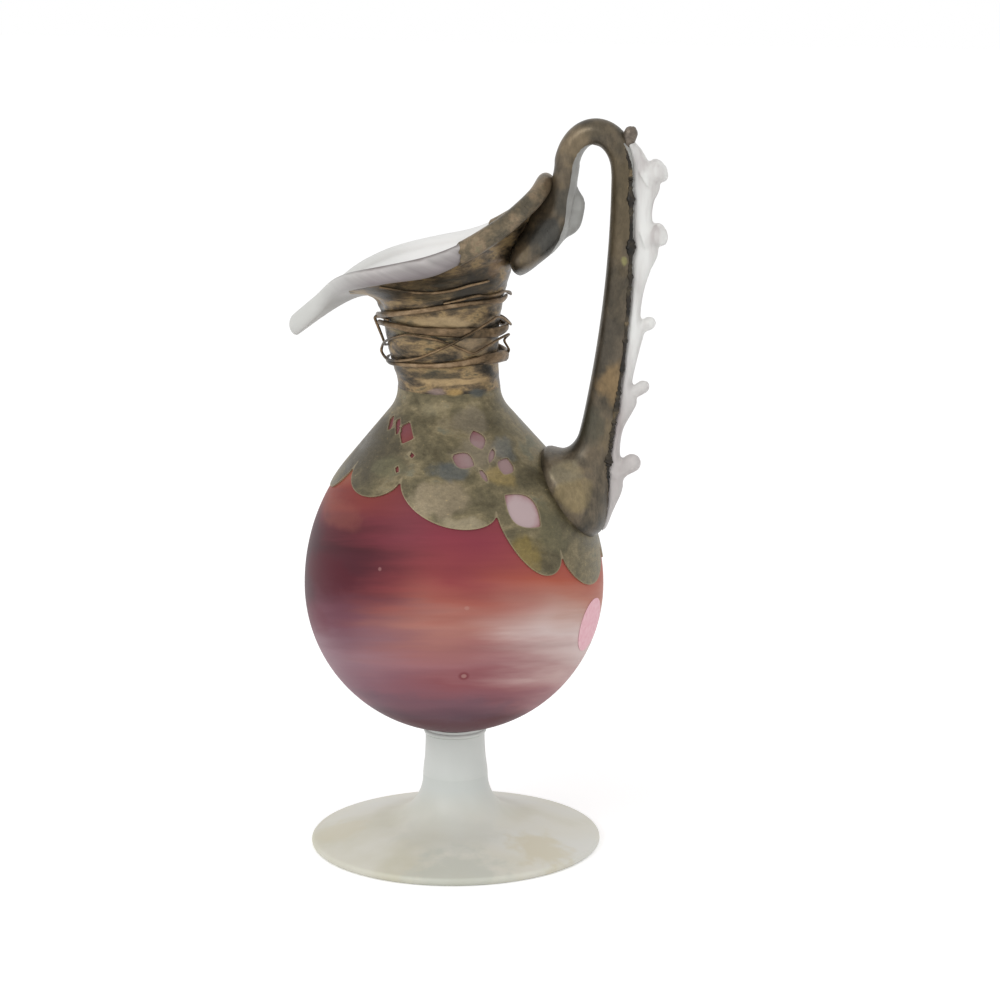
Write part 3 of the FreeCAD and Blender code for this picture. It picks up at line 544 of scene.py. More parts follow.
# %% The cut edges of the shoulder sheet
scallops = [(180, .660, .150), (146, .656, .110), (105.8, .629, .125), (58, .489, .185), (31.2, .276, .190),
            (-4, .240, .150), (-33, .300, .130), (-60, .490, .125), (-104, .630, .110), (-142, .656, .120),
            (-180, .660, .150)]
flowers = [(-62, .70), (-128, .72)]
petal_turns = (0, 72, 144, 216, 288)
petal_size, petal_spread, petal_rise = (8.2, 4.4), 11, 0.074
leaves = [(44.3, .478, 38, 16.0, 11.6), (-47, .46, -30, 14.4, 10.44), (57, .792, 8, 7.6, 5.6),
          (44.1, .671, -35, 7.4, 6.2), (70.1, .71, 58, 8.2, 6.2), (50.6, .723, -35, 7.2, 2.0),
          (59.8, .644, 15, 6.2, 1.9)]
slots = [(139, .842, 38, 6.0, 2.4), (127, .836, 38, 6.4, 2.4), (115.5, .815, 35, 7.6, 5.2),
         (104.5, .728, 55, 2.6, 1.6), (110.5, .662, 30, 2.4, 1.4), (-100, .80, -30, 6.0, 4.0)]
leaf_taper, slot_fullness, slope_per_share, edge_step = 0.9, 0.85, 60, 0.05


def on_side(azimuth, share):
    """Point on the sheet's inside at an azimuth and a share of the shoulder's height."""
    height = bulb_centre + (neck_joint - bulb_centre) * share
    slope = radians(min(shoulder_angle, slope_per_share * share))
    return at(azimuth, side_radius(height) + seat / cos(slope), height)


def shares_of(point):
    """Azimuth and height share of a point."""
    azimuth = degrees(atan2(-point.y, point.x - neck_shift(point.z)))
    return azimuth, (point.z - bulb_centre) / (neck_joint - bulb_centre)


def drop_on_side(point):
    """The point's place on the sheet, at the same azimuth and height."""
    return on_side(*shares_of(point))


def lobe_edge(azimuth):
    """Height share of the scalloped lower edge."""
    for high, low in zip(scallops, scallops[1:]):
        if azimuth >= low[0]:
            t = (high[0] - azimuth) / (high[0] - low[0])
            return high[1] + (low[1] - high[1]) * t - high[2] * max(0, sin(pi * t)) ** 0.5
    return scallops[-1][1]


Opening = namedtuple("Opening", "azimuth share turn length width kind")
petals = [(azimuth + petal_spread * sin(radians(turn)), share + petal_rise * cos(radians(turn)), turn,
           *petal_size) for azimuth, share in flowers for turn in petal_turns]
openings = [Opening(*row, "leaf") for row in petals + leaves] + [Opening(*row, "slot") for row in slots]


def layout(opening):
    """An opening with its centre, its long direction and its cross direction on the sheet."""
    centre = on_side(opening.azimuth, opening.share)
    uphill = (on_side(opening.azimuth, opening.share + 0.01) - centre).normalized()
    level = (on_side(opening.azimuth + 1, opening.share) - centre).normalized()
    along = uphill * cos(radians(opening.turn)) + level * sin(radians(opening.turn))
    return opening, centre, along, along.cross(level.cross(uphill))


layouts = [layout(opening) for opening in openings]


def half_gap(opening, place):
    """Half width of an opening at a place along it, as a share of its length from -0.5 to 0.5."""
    if abs(place) >= 0.5:
        return 0
    if opening.kind == "leaf":
        return opening.width / 2 * sin(pi * (0.5 - place)) ** leaf_taper
    return opening.width / 2 * slot_fullness


def is_metal(point):
    """Whether a point of the sheet is inside the lobes and outside every opening."""
    azimuth, share = shares_of(point)
    if share < lobe_edge(azimuth):
        return False
    for opening, centre, along, across in layouts:
        gap = point - centre
        reach = gap.dot(along) / opening.length
        if gap.length < opening.length and abs(gap.dot(across)) < half_gap(opening, reach):
            return False
    return True


edge_points = []
for step in range(round(360 / edge_step)):
    azimuth = 180 - step * edge_step
    edge_points.append(on_side(azimuth, lobe_edge(azimuth)))
for azimuth, share, depth in scallops[:-1]:
    edge_points += [on_side(azimuth, share - depth * s / 60) for s in range(12)]
for opening, centre, along, across in layouts:
    for step in range(241):
        place = step / 240 - 0.5
        middle = centre + along * (place * opening.length)
        for side in (-1, 1):
            edge_points.append(drop_on_side(middle + across * (side * half_gap(opening, place))))
    if opening.kind == "slot":
        for step in range(41):
            for end in (-0.5, 0.5):
                side = (step / 20 - 1) * opening.width / 2 * slot_fullness
                edge_points.append(drop_on_side(centre + along * (end * opening.length) + across * side))
edge_tree = kdtree.KDTree(len(edge_points))
for index, point in enumerate(edge_points):
    edge_tree.insert(point, index)
edge_tree.balance()
print("points on cut edges", len(edge_points))

# %% [markdown]
# The sheet itself is a fine grid laid on the shoulder. Cells outside the metal are
# deleted, and the corners left along a cut are pulled onto the nearest edge point, which
# gives clean curves without a boolean. The distance to the nearest edge is stored on the
# mesh, because real metal is rubbed bright along its edges and the material reads it.

# %% Shoulder sheet
lowest, snap, edge_snap = 0.07, 0.42, 1.4
bm = sheet(360, 78, lambda u, v: on_side(180 - 360 * u, lowest + (1 - lowest) * v))
bmesh.ops.remove_doubles(bm, verts=bm.verts, dist=weld)
outside = set()
for vert in bm.verts:
    near, _, distance = edge_tree.find(vert.co)
    if distance < snap:
        vert.co = near
    elif not is_metal(vert.co):
        outside.add(vert)
bmesh.ops.delete(bm, geom=[f for f in bm.faces if any(v in outside for v in f.verts)], context="FACES")
for vert in bm.verts:
    if vert.is_boundary and vert.co.z < neck_joint - 0.5:
        near, _, distance = edge_tree.find(vert.co)
        if distance < edge_snap:
            vert.co = near
bmesh.ops.delete(bm, geom=[v for v in bm.verts if not v.link_faces], context="VERTS")
bmesh.ops.dissolve_degenerate(bm, edges=bm.edges, dist=0.02)
thickened(bm, skin)
wear = bm.verts.layers.float.new("edge_distance")
for vert in bm.verts:
    vert[wear] = edge_tree.find(vert.co)[2]
piece("shoulder_metal", bm, ["shoulder_overlay"])

# %% [markdown]
# The neck is sheathed up to the underside of the rim, and the back of the rolled rim has
# its own strip. Both end in a torn edge, which a little noise gives.

# %% Neck and rim sheets
metal_edge = [(0, 0.985), (140, 0.985), (156, 0.80), (170, 0.55), (180, 0.48)]
fold_height, folds_round, folds_up, fold_tilt = 0.32, 2.2, 0.384, 2.5
skirt, rim_turn, rim_start, rim_span = 0.06, 73, -0.015, 0.86


def noise_at(*place):
    return noise.noise(Vector(place))


def wrinkle(azimuth, height):
    """Soft folds of the thin sheet, running round the neck and rising to the back."""
    across, side = cos(radians(azimuth)), sin(radians(azimuth))
    place = Vector((across * folds_round, side * folds_round, (height + fold_tilt * across) * folds_up))
    return fold_height * (noise.noise(place) + 0.5 * noise.noise(place * 2.3))


def neck_sheet(u, v):
    """A skirt on the shoulder first, and then the neck's wall up to the torn edge."""
    azimuth = 180 - 360 * u
    round_place = Vector((3 * cos(radians(azimuth)), 3 * sin(radians(azimuth)), 1))
    if v < skirt:
        above = -(1 - v / skirt) * (2.2 + 2.4 * noise.noise(round_place * 1.7))
        height = neck_joint + above
        return at(azimuth, side_radius(height) + seat + skin * v / skirt - 0.02, height)
    v = (v - skirt) / (1 - skirt)
    t = v * (blend(metal_edge, abs(azimuth)) + 0.03 * noise.noise(round_place * 5))
    radius, height = wall_point(azimuth, t, seat)
    above, fade = height - neck_joint, max(0, min(1, 8 * (0.93 - t)))
    fold = max(0, wrinkle(azimuth, above) + 0.1) * fade
    return at(azimuth, radius + max(fold, skin * (1 - 12 * v)) + build_up(azimuth, above), height)


def rim_sheet(u, v):
    end = rim_turn + 2.0 * noise_at(v * 9, 5, 2)
    azimuth = -rim_turn + (rim_turn + end) * u
    s = rim_start + rim_span * v + 0.03 * noise_at(u * 22, 8, 3) * v
    return at(azimuth, *bead_point(azimuth, s, seat + 0.05))


piece("neck_metal", thickened(sheet(240, 110, neck_sheet), skin), ["neck_overlay"])
rim = sheet(130, 40, lambda u, v: rim_sheet(1 - u, v))
piece("rim_metal", thickened(rim, skin), ["rim_overlay"])

# %% [markdown]
# The handle's skin leaves a strip of bare glass under the crest, and another on the inner
# side of the limb at the spout. The long edges beside the bare strips are ragged, because
# the metal was brushed on by hand.

# %% Handle sheets
strip_half_width, crust_half_width, ragged = 3.1, 3.3, 4


def bare_angle(spot, half_width):
    """Half the angle that the bare strip takes at a place along the handle."""
    return degrees(asin(min(0.95, half_width / blend(handle_rows, spot, WIDE))))


def sleeve(first, last, low_rows, high_rows, rows):
    """Open sleeve on the handle between two places, between the angles that two tables give."""
    def place(u, v):
        spot = first + (last - first) * v
        inset = bare_angle(spot, strip_half_width)
        low = blend(low_rows, spot) + inset + ragged * noise_at(spot * 3.1, 1, 4)
        high = blend(high_rows, spot) - inset + ragged * noise_at(spot * 3.1, 9, 4)
        return limb(spot, low + (high - low) * u, seat)
    return thickened(sheet(40, rows, place), skin)


loop_top, grip_end = loop_start + 5, loop_start + 2.3
grip_low, grip_high = [(0, 0), (grip_end, 0)], [(0, 360), (grip_end, 360)]
piece("grip_metal", sleeve(0.35, grip_end, grip_low, grip_high, 150),
      ["grip_overlay", "lower_pad_overlay"])
arch_low = [(loop_start + 2, 133), (loop_top - 1, 136), (loop_top + 1.5, 172), (upper_start, 190)]
arch_high = [(loop_start + 2, 590), (loop_top - 1, 586), (loop_top + 1.5, 545), (upper_start - 0.9, 500),
             (upper_start, 445)]
piece("arch_metal", sleeve(loop_start + 2.25, upper_start + 0.05, arch_low, arch_high, 90),
      ["arch_overlay"])
pad_low = [(upper_start, 190), (upper_start + 1, 198), (upper_start + 2.5, 192), (last_row, 188)]
pad_high = [(upper_start, 445), (upper_start + 1, 420), (upper_start + 2, 384), (last_row, 380)]
piece("upper_pad_metal", sleeve(upper_start, last_row - 0.2, pad_low, pad_high, 60),
      ["upper_pad_overlay"])

# %% [markdown]
# A crust of metal has built up along the seam between the skin and the crest. It is a
# rough bead whose thickness and place wander, and a nub of metal tops the crest.

# %% Tubes along a path, for beads and wires


def along_path(points, t):
    rows = [(index,) + tuple(point) for index, point in enumerate(points)]
    place = t * (len(rows) - 1)
    return [blend(rows, place, column) for column in range(1, len(rows[0]))]


def tube(name, place, rows, nodes, sides=10):
    """Closed tube: place(t) gives a centre, two directions with their half sizes, at t from 0 to 1."""
    rings = [place(row / rows) for row in range(rows + 1)]

    def ring(u, v):
        centre, first, second = rings[round(v * rows)]
        return centre + first * cos(2 * pi * u) + second * sin(2 * pi * u)

    return piece(name, closed(sheet(sides, rows, ring)), nodes, sharp=60)


def crust(side):
    first, last = 2.6, loop_start + 1.9

    def place(t):
        spot = first + (last - first) * t
        angle = side * (bare_angle(spot, crust_half_width) + 5 * noise_at(t * 30, 1, 4))
        out = (limb(spot, angle, 1) - limb(spot, angle, 0)).normalized()
        beads, lumps = abs(noise_at(t * 75, side, 2)), max(0, noise_at(t * 19, side, 5) - 0.05)
        size = (0.45 + 0.9 * beads + 2.0 * lumps) * min(1, 12 * t + 0.1, 12 * (1 - t) + 0.1)
        ahead = (limb(spot + 0.05, 0) - limb(spot, 0)).normalized()
        return limb(spot, angle, 0.5), out * (size * 0.9), ahead.cross(out).normalized() * size * 1.25
    return place


for label, side in (("near", -1), ("far", 1)):
    tube("seam_crust_" + label, crust(side), 420, ["grip_overlay"], 9)

tip_rows = [(0, 1.2), (0.35, 0.85), (0.62, 1.15), (0.82, 1.1), (0.94, 0.75), (1, 0.25)]
tip_base = crest_point(1, 0, 0) + Vector((-4.6, -0.6, -4.2))
tip_radius, tip_lean, tip_height = 2.1, 6.2, 9.6


def tip(t):
    centre = tip_base + Vector((tip_lean * t + 0.5 * sin(5 * t), 0, tip_height * t))
    size = tip_radius * blend(tip_rows, t) * (1 + 0.15 * noise_at(t * 5, 2, 2))
    return centre, Vector((0.84, 0, -0.54)) * size, Vector((0, size, 0))


tube("crest_tip_metal", tip, 40, ["crest_tip_overlay"], 24)

# %% [markdown]
# Wires are wound round the neck: a flat ribbon of two and a half turns, and a fine wire
# that zigzags over it and stands off in small loops at the sides. Each is one path of
# azimuth, height above the neck joint and distance from the skin, with half sizes where
# they aren't the usual ones.

# %% Neck wires
thread = 0.45


def wire(name, points, nodes, rows):
    points = [point if len(point) == 5 else point + (thread, thread) for point in points]

    def centre_at(t):
        azimuth, height, stand, thick, wide = along_path(points, t)
        return neck_surface(azimuth, height, seat + skin + stand), azimuth, thick, wide

    def place(t):
        centre, azimuth, thick, wide = centre_at(t)
        ahead = (centre_at(min(1, t + 0.002))[0] - centre_at(max(0, t - 0.002))[0]).normalized()
        out = Vector((cos(radians(azimuth)), -sin(radians(azimuth)), 0))
        taper = min(1, 0.15 + 60 * t, 0.15 + 60 * (1 - t))
        return centre, out * (thick * taper), ahead.cross(out).normalized() * (wide * taper)
    return tube(name, place, rows, nodes)


ribbon = [
    (352, 31.6, 0.5, .6, .8), (372, 30.7, 0.5, .6, 1.0), (395, 31.2, 0.5, .6, .9), (420, 31.1, 0.4, .5, .8),
    (450, 30.0, 0.4, .5, .9), (482, 27.9, 0.5, .6, 1.0), (512, 25.6, 1.2, .7, 1.1),
    (535, 24.0, 1.2, .8, 1.1), (556, 23.0, 0.9, .8, 1.0), (590, 22.0, 0.8, .7, 1.1),
    (640, 21.4, 0.6, .7, 1.2), (690, 20.9, 0.8, .7, 1.3), (716, 20.6, 2.2, .8, 1.4),
    (738, 20.0, 1.2, .8, 1.7), (757, 20.4, 0.5, .7, 1.7), (776, 20.9, 0.5, .7, 1.7),
    (807, 21.7, 0.5, .7, 1.6), (831, 22.2, 0.5, .7, 1.4), (850, 22.9, 0.6, .7, 1.1),
    (879, 22.6, 1.5, .7, .9), (905, 20.5, 1.2, .7, .9), (960, 16.0, 0.6, .7, 1.0),
    (1020, 12.6, 0.8, .7, 1.3), (1064, 10.6, 2.4, .9, 1.8), (1084, 10.9, 1.6, .9, 2.0),
    (1107, 11.2, 0.6, .7, 1.8), (1124, 11.2, 0.5, .7, 1.5), (1140, 10.8, 0.5, .6, 1.2),
    (1171, 10.0, 0.5, .6, .9), (1202, 9.6, 0.6, .6, .8), (1232, 9.2, 1.2, .6, .8), (1262, 9.8, 0.5, .5, .7)]
wire("ribbon_wire", ribbon, ["neck_thread_winding"], 900)

upper = [
    (40, 38.6, 0.2, .35, .4), (60, 37.6, 0.2, .4, .5), (74, 36.4, 0.25, .4, .5), (92, 35.7, 0.25, .4, .5),
    (108, 36.4, 0.2, .35, .45), (120, 38.2, 0.1, .3, .35)]
wire("neck_crease", upper, ["neck_thread_top"], 120)
top_wire = [
    (-70, 32.4, 0.3, .4, .4), (-30, 31.6, 0.6, .4, .4), (-14, 31.2, 1.8, .4, .4), (-4, 32.6, 1.4, .4, .4),
    (10, 33.4, 0.4, .4, .4), (36, 33.2, 0.3, .35, .45), (52, 33.6, 0.3, .35, .5), (68, 32.6, 0.3, .3, .4),
    (84, 31.6, 0.2, .25, .3)]
wire("neck_top_wire", top_wire, ["neck_thread_top"], 160)

zigzag = [
    (-60, 23.0, 0.5), (-30, 22.6, 1.6), (-12, 21.0, 3.4), (0, 22.6, 2.6), (10, 24.4, 1.6), (21, 25.2, 1.2),
    (31, 24.6, 1.6), (43, 23.1, 1.9), (55, 21.0, 1.7), (66, 19.1, 1.2), (77, 17.2, 0.9), (87, 15.7, 1.1),
    (98, 14.0, 0.7), (108, 12.6, 0.9), (124, 11.3, 1.1, .45, .5), (151, 9.9, 1.0, .45, .55),
    (163, 10.4, 1.6, .5, .55), (169, 12.0, 2.2, .5, .5), (166, 14.0, 1.6, .5, .5), (154, 16.4, 0.9),
    (136, 18.6, 0.8), (120, 20.3, 0.9), (107, 20.1, 1.3), (91, 19.0, 0.8), (77, 17.4, 0.5), (66, 16.0, 0.5),
    (52, 14.0, 1.0), (42, 14.8, 1.0), (28, 16.1, 0.8), (10, 17.4, 1.4), (-4, 18.0, 3.2), (-13, 15.4, 1.6),
    (-9, 12.4, 3.2), (-20, 10.0, 2.0), (-50, 9.4, 0.6)]
wire("zigzag_wire", zigzag, ["neck_thread_zigzag"], 760)
left_loop = [
    (140, 24.6, 0.6), (160, 24.4, 1.0, .5, .5), (168, 23.6, 2.6, .55, .55), (167, 20.0, 1.9, .55, .55),
    (166, 17.2, 1.2, .5, .5), (167, 14.6, 0.7), (185, 13.2, 0.8), (210, 12.6, 0.5)]
wire("left_loop_wire", left_loop, ["neck_thread_zigzag"], 160)

# %% [markdown]
# A round paper dot, left blank here, is stuck on the bulb's side. It is a disc bent to
# the bulb and given the thickness of paper.

# %% Paper dot
dot_radius, dot_azimuth, dot_latitude, dot_thickness = 9.5, 10.7, -11.5, 0.15
dot_normal = Vector((cos(radians(dot_azimuth)) * cos(radians(dot_latitude)),
                     -sin(radians(dot_azimuth)) * cos(radians(dot_latitude)), sin(radians(dot_latitude))))
dot_level = Vector((0, 0, 1)).cross(dot_normal).normalized()
dot_uphill = dot_normal.cross(dot_level)


def dot_place(u, v):
    angle, reach = 2 * pi * u, dot_radius * v
    flat = dot_normal * bulb_radius + (dot_level * cos(angle) + dot_uphill * sin(angle)) * reach
    return Vector((0, 0, bulb_centre)) + flat.normalized() * (bulb_radius + seat)


bm = welded(sheet(64, 10, dot_place))
for face in bm.faces:
    if face.normal.dot(dot_normal) < 0:
        face.normal_flip()
piece("paper_dot", thickened(bm, dot_thickness), ["price_dot"])

# %% [markdown]
# Materials are built from nodes. `colour` turns a written hex colour to the linear
# values that a shader wants, and `add` adds one node with its settings and links.

# %% Helpers for materials


def colour(text):
    values = [int(text[i:i + 2], 16) / 255 for i in (1, 3, 5)]
    return tuple(v / 12.92 if v <= 0.04045 else ((v + 0.055) / 1.055) ** 2.4 for v in values) + (1,)


def add(tree, kind, inputs=None, stops=None, **settings):
    """Add a node; inputs are values or sockets to link, stops are the colours of a ramp."""
    node = tree.nodes.new("ShaderNode" + kind)
    for key, value in settings.items():
        setattr(node, key, value)
    for key, value in (inputs or {}).items():
        if isinstance(value, bpy.types.NodeSocket):
            tree.links.new(value, node.inputs[key])
        else:
            node.inputs[key].default_value = value
    if stops:
        elements = node.color_ramp.elements
        while len(elements) < len(stops):
            elements.new(0.5)
        for element, (place, text) in zip(elements, stops):
            element.position, element.color = place, colour(text)
    return node


def fresh_tree(owner):
    """The empty node tree of a new material or world."""
    owner.use_nodes = True
    owner.node_tree.nodes.clear()
    return owner.node_tree


def start(name, **values):
    """New material: its tree, its shader and the object's own coordinates in metres."""
    made = bpy.data.materials.new(name)
    tree = fresh_tree(made)
    shader = add(tree, "BsdfPrincipled", {key.replace("_", " "): value for key, value in values.items()})
    add(tree, "OutputMaterial", {"Surface": shader.outputs[0]})
    return made, tree, shader, add(tree, "TexCoord").outputs["Object"]


def paint(made, *names):
    for name in names:
        pieces[name].data.materials.clear()
        pieces[name].data.materials.append(made)


def mottled(name, names, scale, detail, stops, **values):
    """Material with a faint cloudy mottle between two colours, laid on the named pieces."""
    made, tree, shader, place = start(name, **values)
    clouds = add(tree, "TexNoise", {"Vector": place, "Scale": scale, "Detail": detail})
    tint = add(tree, "ValToRGB", {"Fac": clouds.outputs["Fac"]}, stops=stops)
    tree.links.new(tint.outputs[0], shader.inputs["Base Color"])
    paint(made, *names)


# %% [markdown]
# Marks such as a stain, a rubbed spot, a cloud in the glass, a painted highlight or a
# painted shade have a place on the object. `marks` lays them over a colour one after the
# other: each is a soft spot about a point in millimetres, with noise in its edge so that
# it doesn't look like a circle.

# %% Marks laid over a colour


def marks(tree, place, base, rows, ragged=0.7):
    """Rows of x, y, z, reach across, reach up and down (mm), colour and strength."""
    rough = add(tree, "TexNoise", {"Vector": place, "Scale": 160.0, "Detail": 3.0})
    for x, y, z, reach, rise, text, strength in rows:
        centre, scale = [-x / reach, -y / reach, -z / rise], [1000 / reach, 1000 / reach, 1000 / rise]
        local = add(tree, "Mapping", {"Vector": place, "Location": centre, "Scale": scale})
        distance = add(tree, "VectorMath", {0: local.outputs[0]}, operation="LENGTH")
        wobble = add(tree, "Math", {0: rough.outputs["Fac"], 1: ragged * 2, 2: distance.outputs["Value"]},
                     operation="MULTIPLY_ADD")
        mask = add(tree, "MapRange", {"Value": wobble.outputs[0], "From Min": 0.45 + ragged,
                                      "From Max": 1.0 + ragged, "To Min": strength, "To Max": 0.0},
                   interpolation_type="SMOOTHSTEP")
        base = add(tree, "Mix", {0: mask.outputs[0], 6: base, 7: colour(text)}, data_type="RGBA").outputs[2]
    return base


# %% [markdown]
# Satin glass is glass dipped in acid: it loses its mirror gloss and scatters light just
# under its surface, so it looks milky. Here that is a pale base colour with a wide, soft
# gloss. The foot is cream with faint cloudy patches and turns bluer towards the stem; a
# darker spot on its cone in front of the stem is painted shade.

# %% Satin glass of foot and stem
made, tree, shader, place = start("satin_glass_cream", Roughness=0.45, IOR=1.5)
clouds = add(tree, "TexNoise", {"Vector": place, "Scale": 30.0, "Detail": 4.0})
tint = add(tree, "ValToRGB", {"Fac": clouds.outputs["Fac"]},
           stops=[(0.32, "#cdcab6"), (0.52, "#d9d7ca"), (0.70, "#dadad2")])
# The first mark, at (2, -22, 9), is painted shade on the foot's cone in front of the stem; the other marks
# are cloudy patches.
body = marks(tree, place, tint.outputs[0], [
    (2, -22, 9, 22, 7, "#c6c8bc", 0.3), (34, -20, 3, 14, 20, "#cfc7ac", 0.7),
    (-38, -12, 3, 12, 20, "#d0c9b0", 0.6), (10, -47, 3, 20, 20, "#c3c6ba", 0.7)])
spot = add(tree, "SeparateXYZ", {"Vector": place})
level = add(tree, "MapRange", {"Value": spot.outputs["Z"], "From Min": 0.009, "From Max": 0.0215})
both = add(tree, "Mix", {0: level.outputs[0], 6: body, 7: colour("#d1d5d1")}, data_type="RGBA")
tree.links.new(both.outputs[2], shader.inputs["Base Color"])
grain = add(tree, "TexNoise", {"Vector": place, "Scale": 900.0, "Detail": 2.0})
bump = add(tree, "Bump", {"Height": grain.outputs["Fac"], "Strength": 0.06, "Distance": 0.0002})
tree.links.new(bump.outputs[0], shader.inputs["Normal"])
paint(made, "foot_glass")

mottled("satin_glass_blue", ["stem_glass", "collar_glass"], 60.0, 2.0, [(0.3, "#d2d6d2"), (0.7, "#d9dcd8")],
        Roughness=0.42, IOR=1.5)

# %% [markdown]
# The bulb's colours were trailed into the glass while it turned, so they run round it in
# soft, slanting bands. Mappings turn the object's coordinates so that the bands lie level
# on the side that is seen first. Three ramps over the height, bent by long flat noise,
# give the left, the middle and the right, and are mixed across. A finer noise lays thin
# lengthwise streaks over them, and marks add clouds, a few trapped bubbles and a painted
# shade along the bulb's left edge.

# %% Streaked satin glass of the bulb
left_streaks = [
    (0.02, "#5f434c"), (0.12, "#87606c"), (0.24, "#94747d"), (0.36, "#744854"), (0.50, "#562832"),
    (0.64, "#4b242b"), (0.76, "#6c3239"), (0.86, "#8a4238"), (0.95, "#a0604a")]
middle_streaks = [
    (0.02, "#633e46"), (0.09, "#8a5a62"), (0.15, "#8f565b"), (0.21, "#a06c6f"), (0.29, "#a26c69"),
    (0.36, "#ad776c"), (0.44, "#a35d53"), (0.54, "#8d4345"), (0.68, "#843a45"), (0.88, "#743a40")]
right_streaks = [
    (0.02, "#6c444b"), (0.09, "#9a6c70"), (0.15, "#b58c8b"), (0.21, "#c6a7a3"), (0.29, "#d0b9b5"),
    (0.36, "#d6c2be"), (0.44, "#c39c90"), (0.51, "#b87c6c"), (0.60, "#a85a48"), (0.72, "#98464a")]
# The row at (-48, -16, 104) is painted shade along the bulb's left edge; the other rows are clouds in the
# glass.
clouds = [
    (-34, -28, 123, 22, 6, "#94584a", 0.35), (-48, -16, 104, 22, 26, "#432d34", 0.6),
    (-36, -32, 103, 22, 9, "#55202a", 0.7), (-40, -27, 86, 14, 8, "#6c3440", 0.4),
    (20, -20, 142, 24, 13, "#97807f", 0.95), (-14, -16, 150, 11, 8, "#7c4a50", 0.9),
    (30, -30, 126, 9, 11, "#b7a2a3", 1.0), (0, -36, 58, 40, 8, "#6f5a68", 0.45)]
bubbles = [
    (-15.1, -47.2, 108.8, 0.9, 0.9, "#a87a78", 0.5), (14.7, -49.1, 97.3, 1.1, 0.9, "#b5897f", 0.45),
    (12.8, -45.6, 72.9, 2.4, 2.2, "#7c3c42", 0.8), (12.8, -45.6, 72.9, 1.2, 1.1, "#b08580", 0.7),
    (-24, -44, 85, 0.6, 0.6, "#9c6a6c", 0.6), (4, -49.5, 83, 0.7, 0.6, "#b08078", 0.5)]


def drawn_out(tree, place, scale, turn, detail, roughness=0.5):
    """Noise squeezed by a scale in x, y and z and then turned in the side view."""
    mapped = add(tree, "Mapping", {"Vector": place, "Scale": scale, "Rotation": (0, radians(turn), 0)})
    return add(tree, "TexNoise", {"Vector": mapped.outputs[0], "Scale": 1.0, "Detail": detail,
                                  "Roughness": roughness}).outputs["Fac"]


made, tree, shader, place = start("satin_glass_streaked", Roughness=0.46, IOR=1.5, Specular_IOR_Level=0.12)
banded = place
for settings in ({"Location": (0, 0, -bulb_centre * MM)}, {"Rotation": (0, 0, radians(-12))},
                 {"Rotation": (radians(13), 0, 0)}):
    banded = add(tree, "Mapping", {"Vector": banded, **settings}).outputs[0]
spot = add(tree, "SeparateXYZ", {"Vector": banded})
flow = drawn_out(tree, banded, (15, 15, 130), 6, 4.0, 0.55)
soft = drawn_out(tree, banded, (22, 22, 40), -20, 2.0)
fine = drawn_out(tree, banded, (10, 10, 230), 5, 3.0)
bend = add(tree, "Math", {0: spot.outputs["X"], 1: 0.05, 2: spot.outputs["Z"]}, operation="MULTIPLY_ADD")
for wave in (flow, soft):
    bend = add(tree, "Math", {0: wave, 1: 0.018, 2: bend.outputs[0]}, operation="MULTIPLY_ADD")
height = add(tree, "MapRange", {"Value": bend.outputs[0], "From Min": -0.030, "From Max": 0.061})
left, middle, right = (add(tree, "ValToRGB", {"Fac": height.outputs[0]}, stops=stops).outputs[0]
                       for stops in (left_streaks, middle_streaks, right_streaks))
wander = add(tree, "Math", {0: flow, 1: 0.050, 2: spot.outputs["X"]}, operation="MULTIPLY_ADD")
body = left
for streaks, low, high in ((middle, -0.016, 0.022), (right, 0.026, 0.066)):
    share = add(tree, "MapRange", {"Value": wander.outputs[0], "From Min": low, "From Max": high},
                interpolation_type="SMOOTHSTEP")
    body = add(tree, "Mix", {0: share.outputs[0], 6: body, 7: streaks}, data_type="RGBA").outputs[2]
shade = add(tree, "MapRange", {"Value": fine, "From Min": 0.3, "From Max": 0.7, "To Min": 0.93,
                               "To Max": 1.07})
body = add(tree, "VectorMath", {0: body, 1: shade.outputs[0]}, operation="MULTIPLY").outputs[0]
body = marks(tree, place, body, clouds, 0.35)
body = marks(tree, place, body, bubbles, 0.05)
tree.links.new(body, shader.inputs["Base Color"])
paint(made, "bulb_glass")

# %% [markdown]
# The spout's front and the crest are clear glass with the same satin skin. Light passes
# through and is scattered, so they look white before a white background, with grey and
# lilac streaks where the glass is thick. The place on the wall, stored on the mesh, tells
# the rolled rim from the smooth inside. On the near side the spout's rim is painted grey
# and lilac with a painted shade line along the bead's inner edge, and the far side is
# painted pale, as lit glass.

# %% Frosted clear glass
# Near side: grey and lilac rim with a painted shade line (the dark stop at 0.507) along the bead's inner
# edge. Far side: painted pale, as lit glass.
near_rim_shade_stops = [
    (0.30, "#9a9492"), (0.36, "#8d8586"), (0.42, "#a09a99"), (0.465, "#bbb6b4"), (0.487, "#8a8280"),
    (0.507, "#625c5a"), (0.53, "#b5b0ae"), (0.56, "#e6e5e2"), (0.64, "#f2f1ee")]
far_rim_lit_stops = [(0.45, "#e2e1df"), (0.60, "#f2f1ef"), (0.75, "#f6f5f3")]
made, tree, shader, place = start("frosted_rim_glass", Roughness=0.45, IOR=1.45, Transmission_Weight=0.06)
wall = add(tree, "Attribute", attribute_name="wall_place")
tipped = add(tree, "Mapping", {"Vector": place, "Rotation": (0, radians(-24), 0)})
flow = drawn_out(tree, tipped.outputs[0], (14, 50, 420), 0, 3.0)
bend = add(tree, "Math", {0: flow, 1: 0.15, 2: wall.outputs["Fac"]}, operation="MULTIPLY_ADD")
share = add(tree, "MapRange", {"Value": bend.outputs[0], "From Min": 0.2, "From Max": 3.2})
near, far = (add(tree, "ValToRGB", {"Fac": share.outputs[0]}, stops=stops)
             for stops in (near_rim_shade_stops, far_rim_lit_stops))
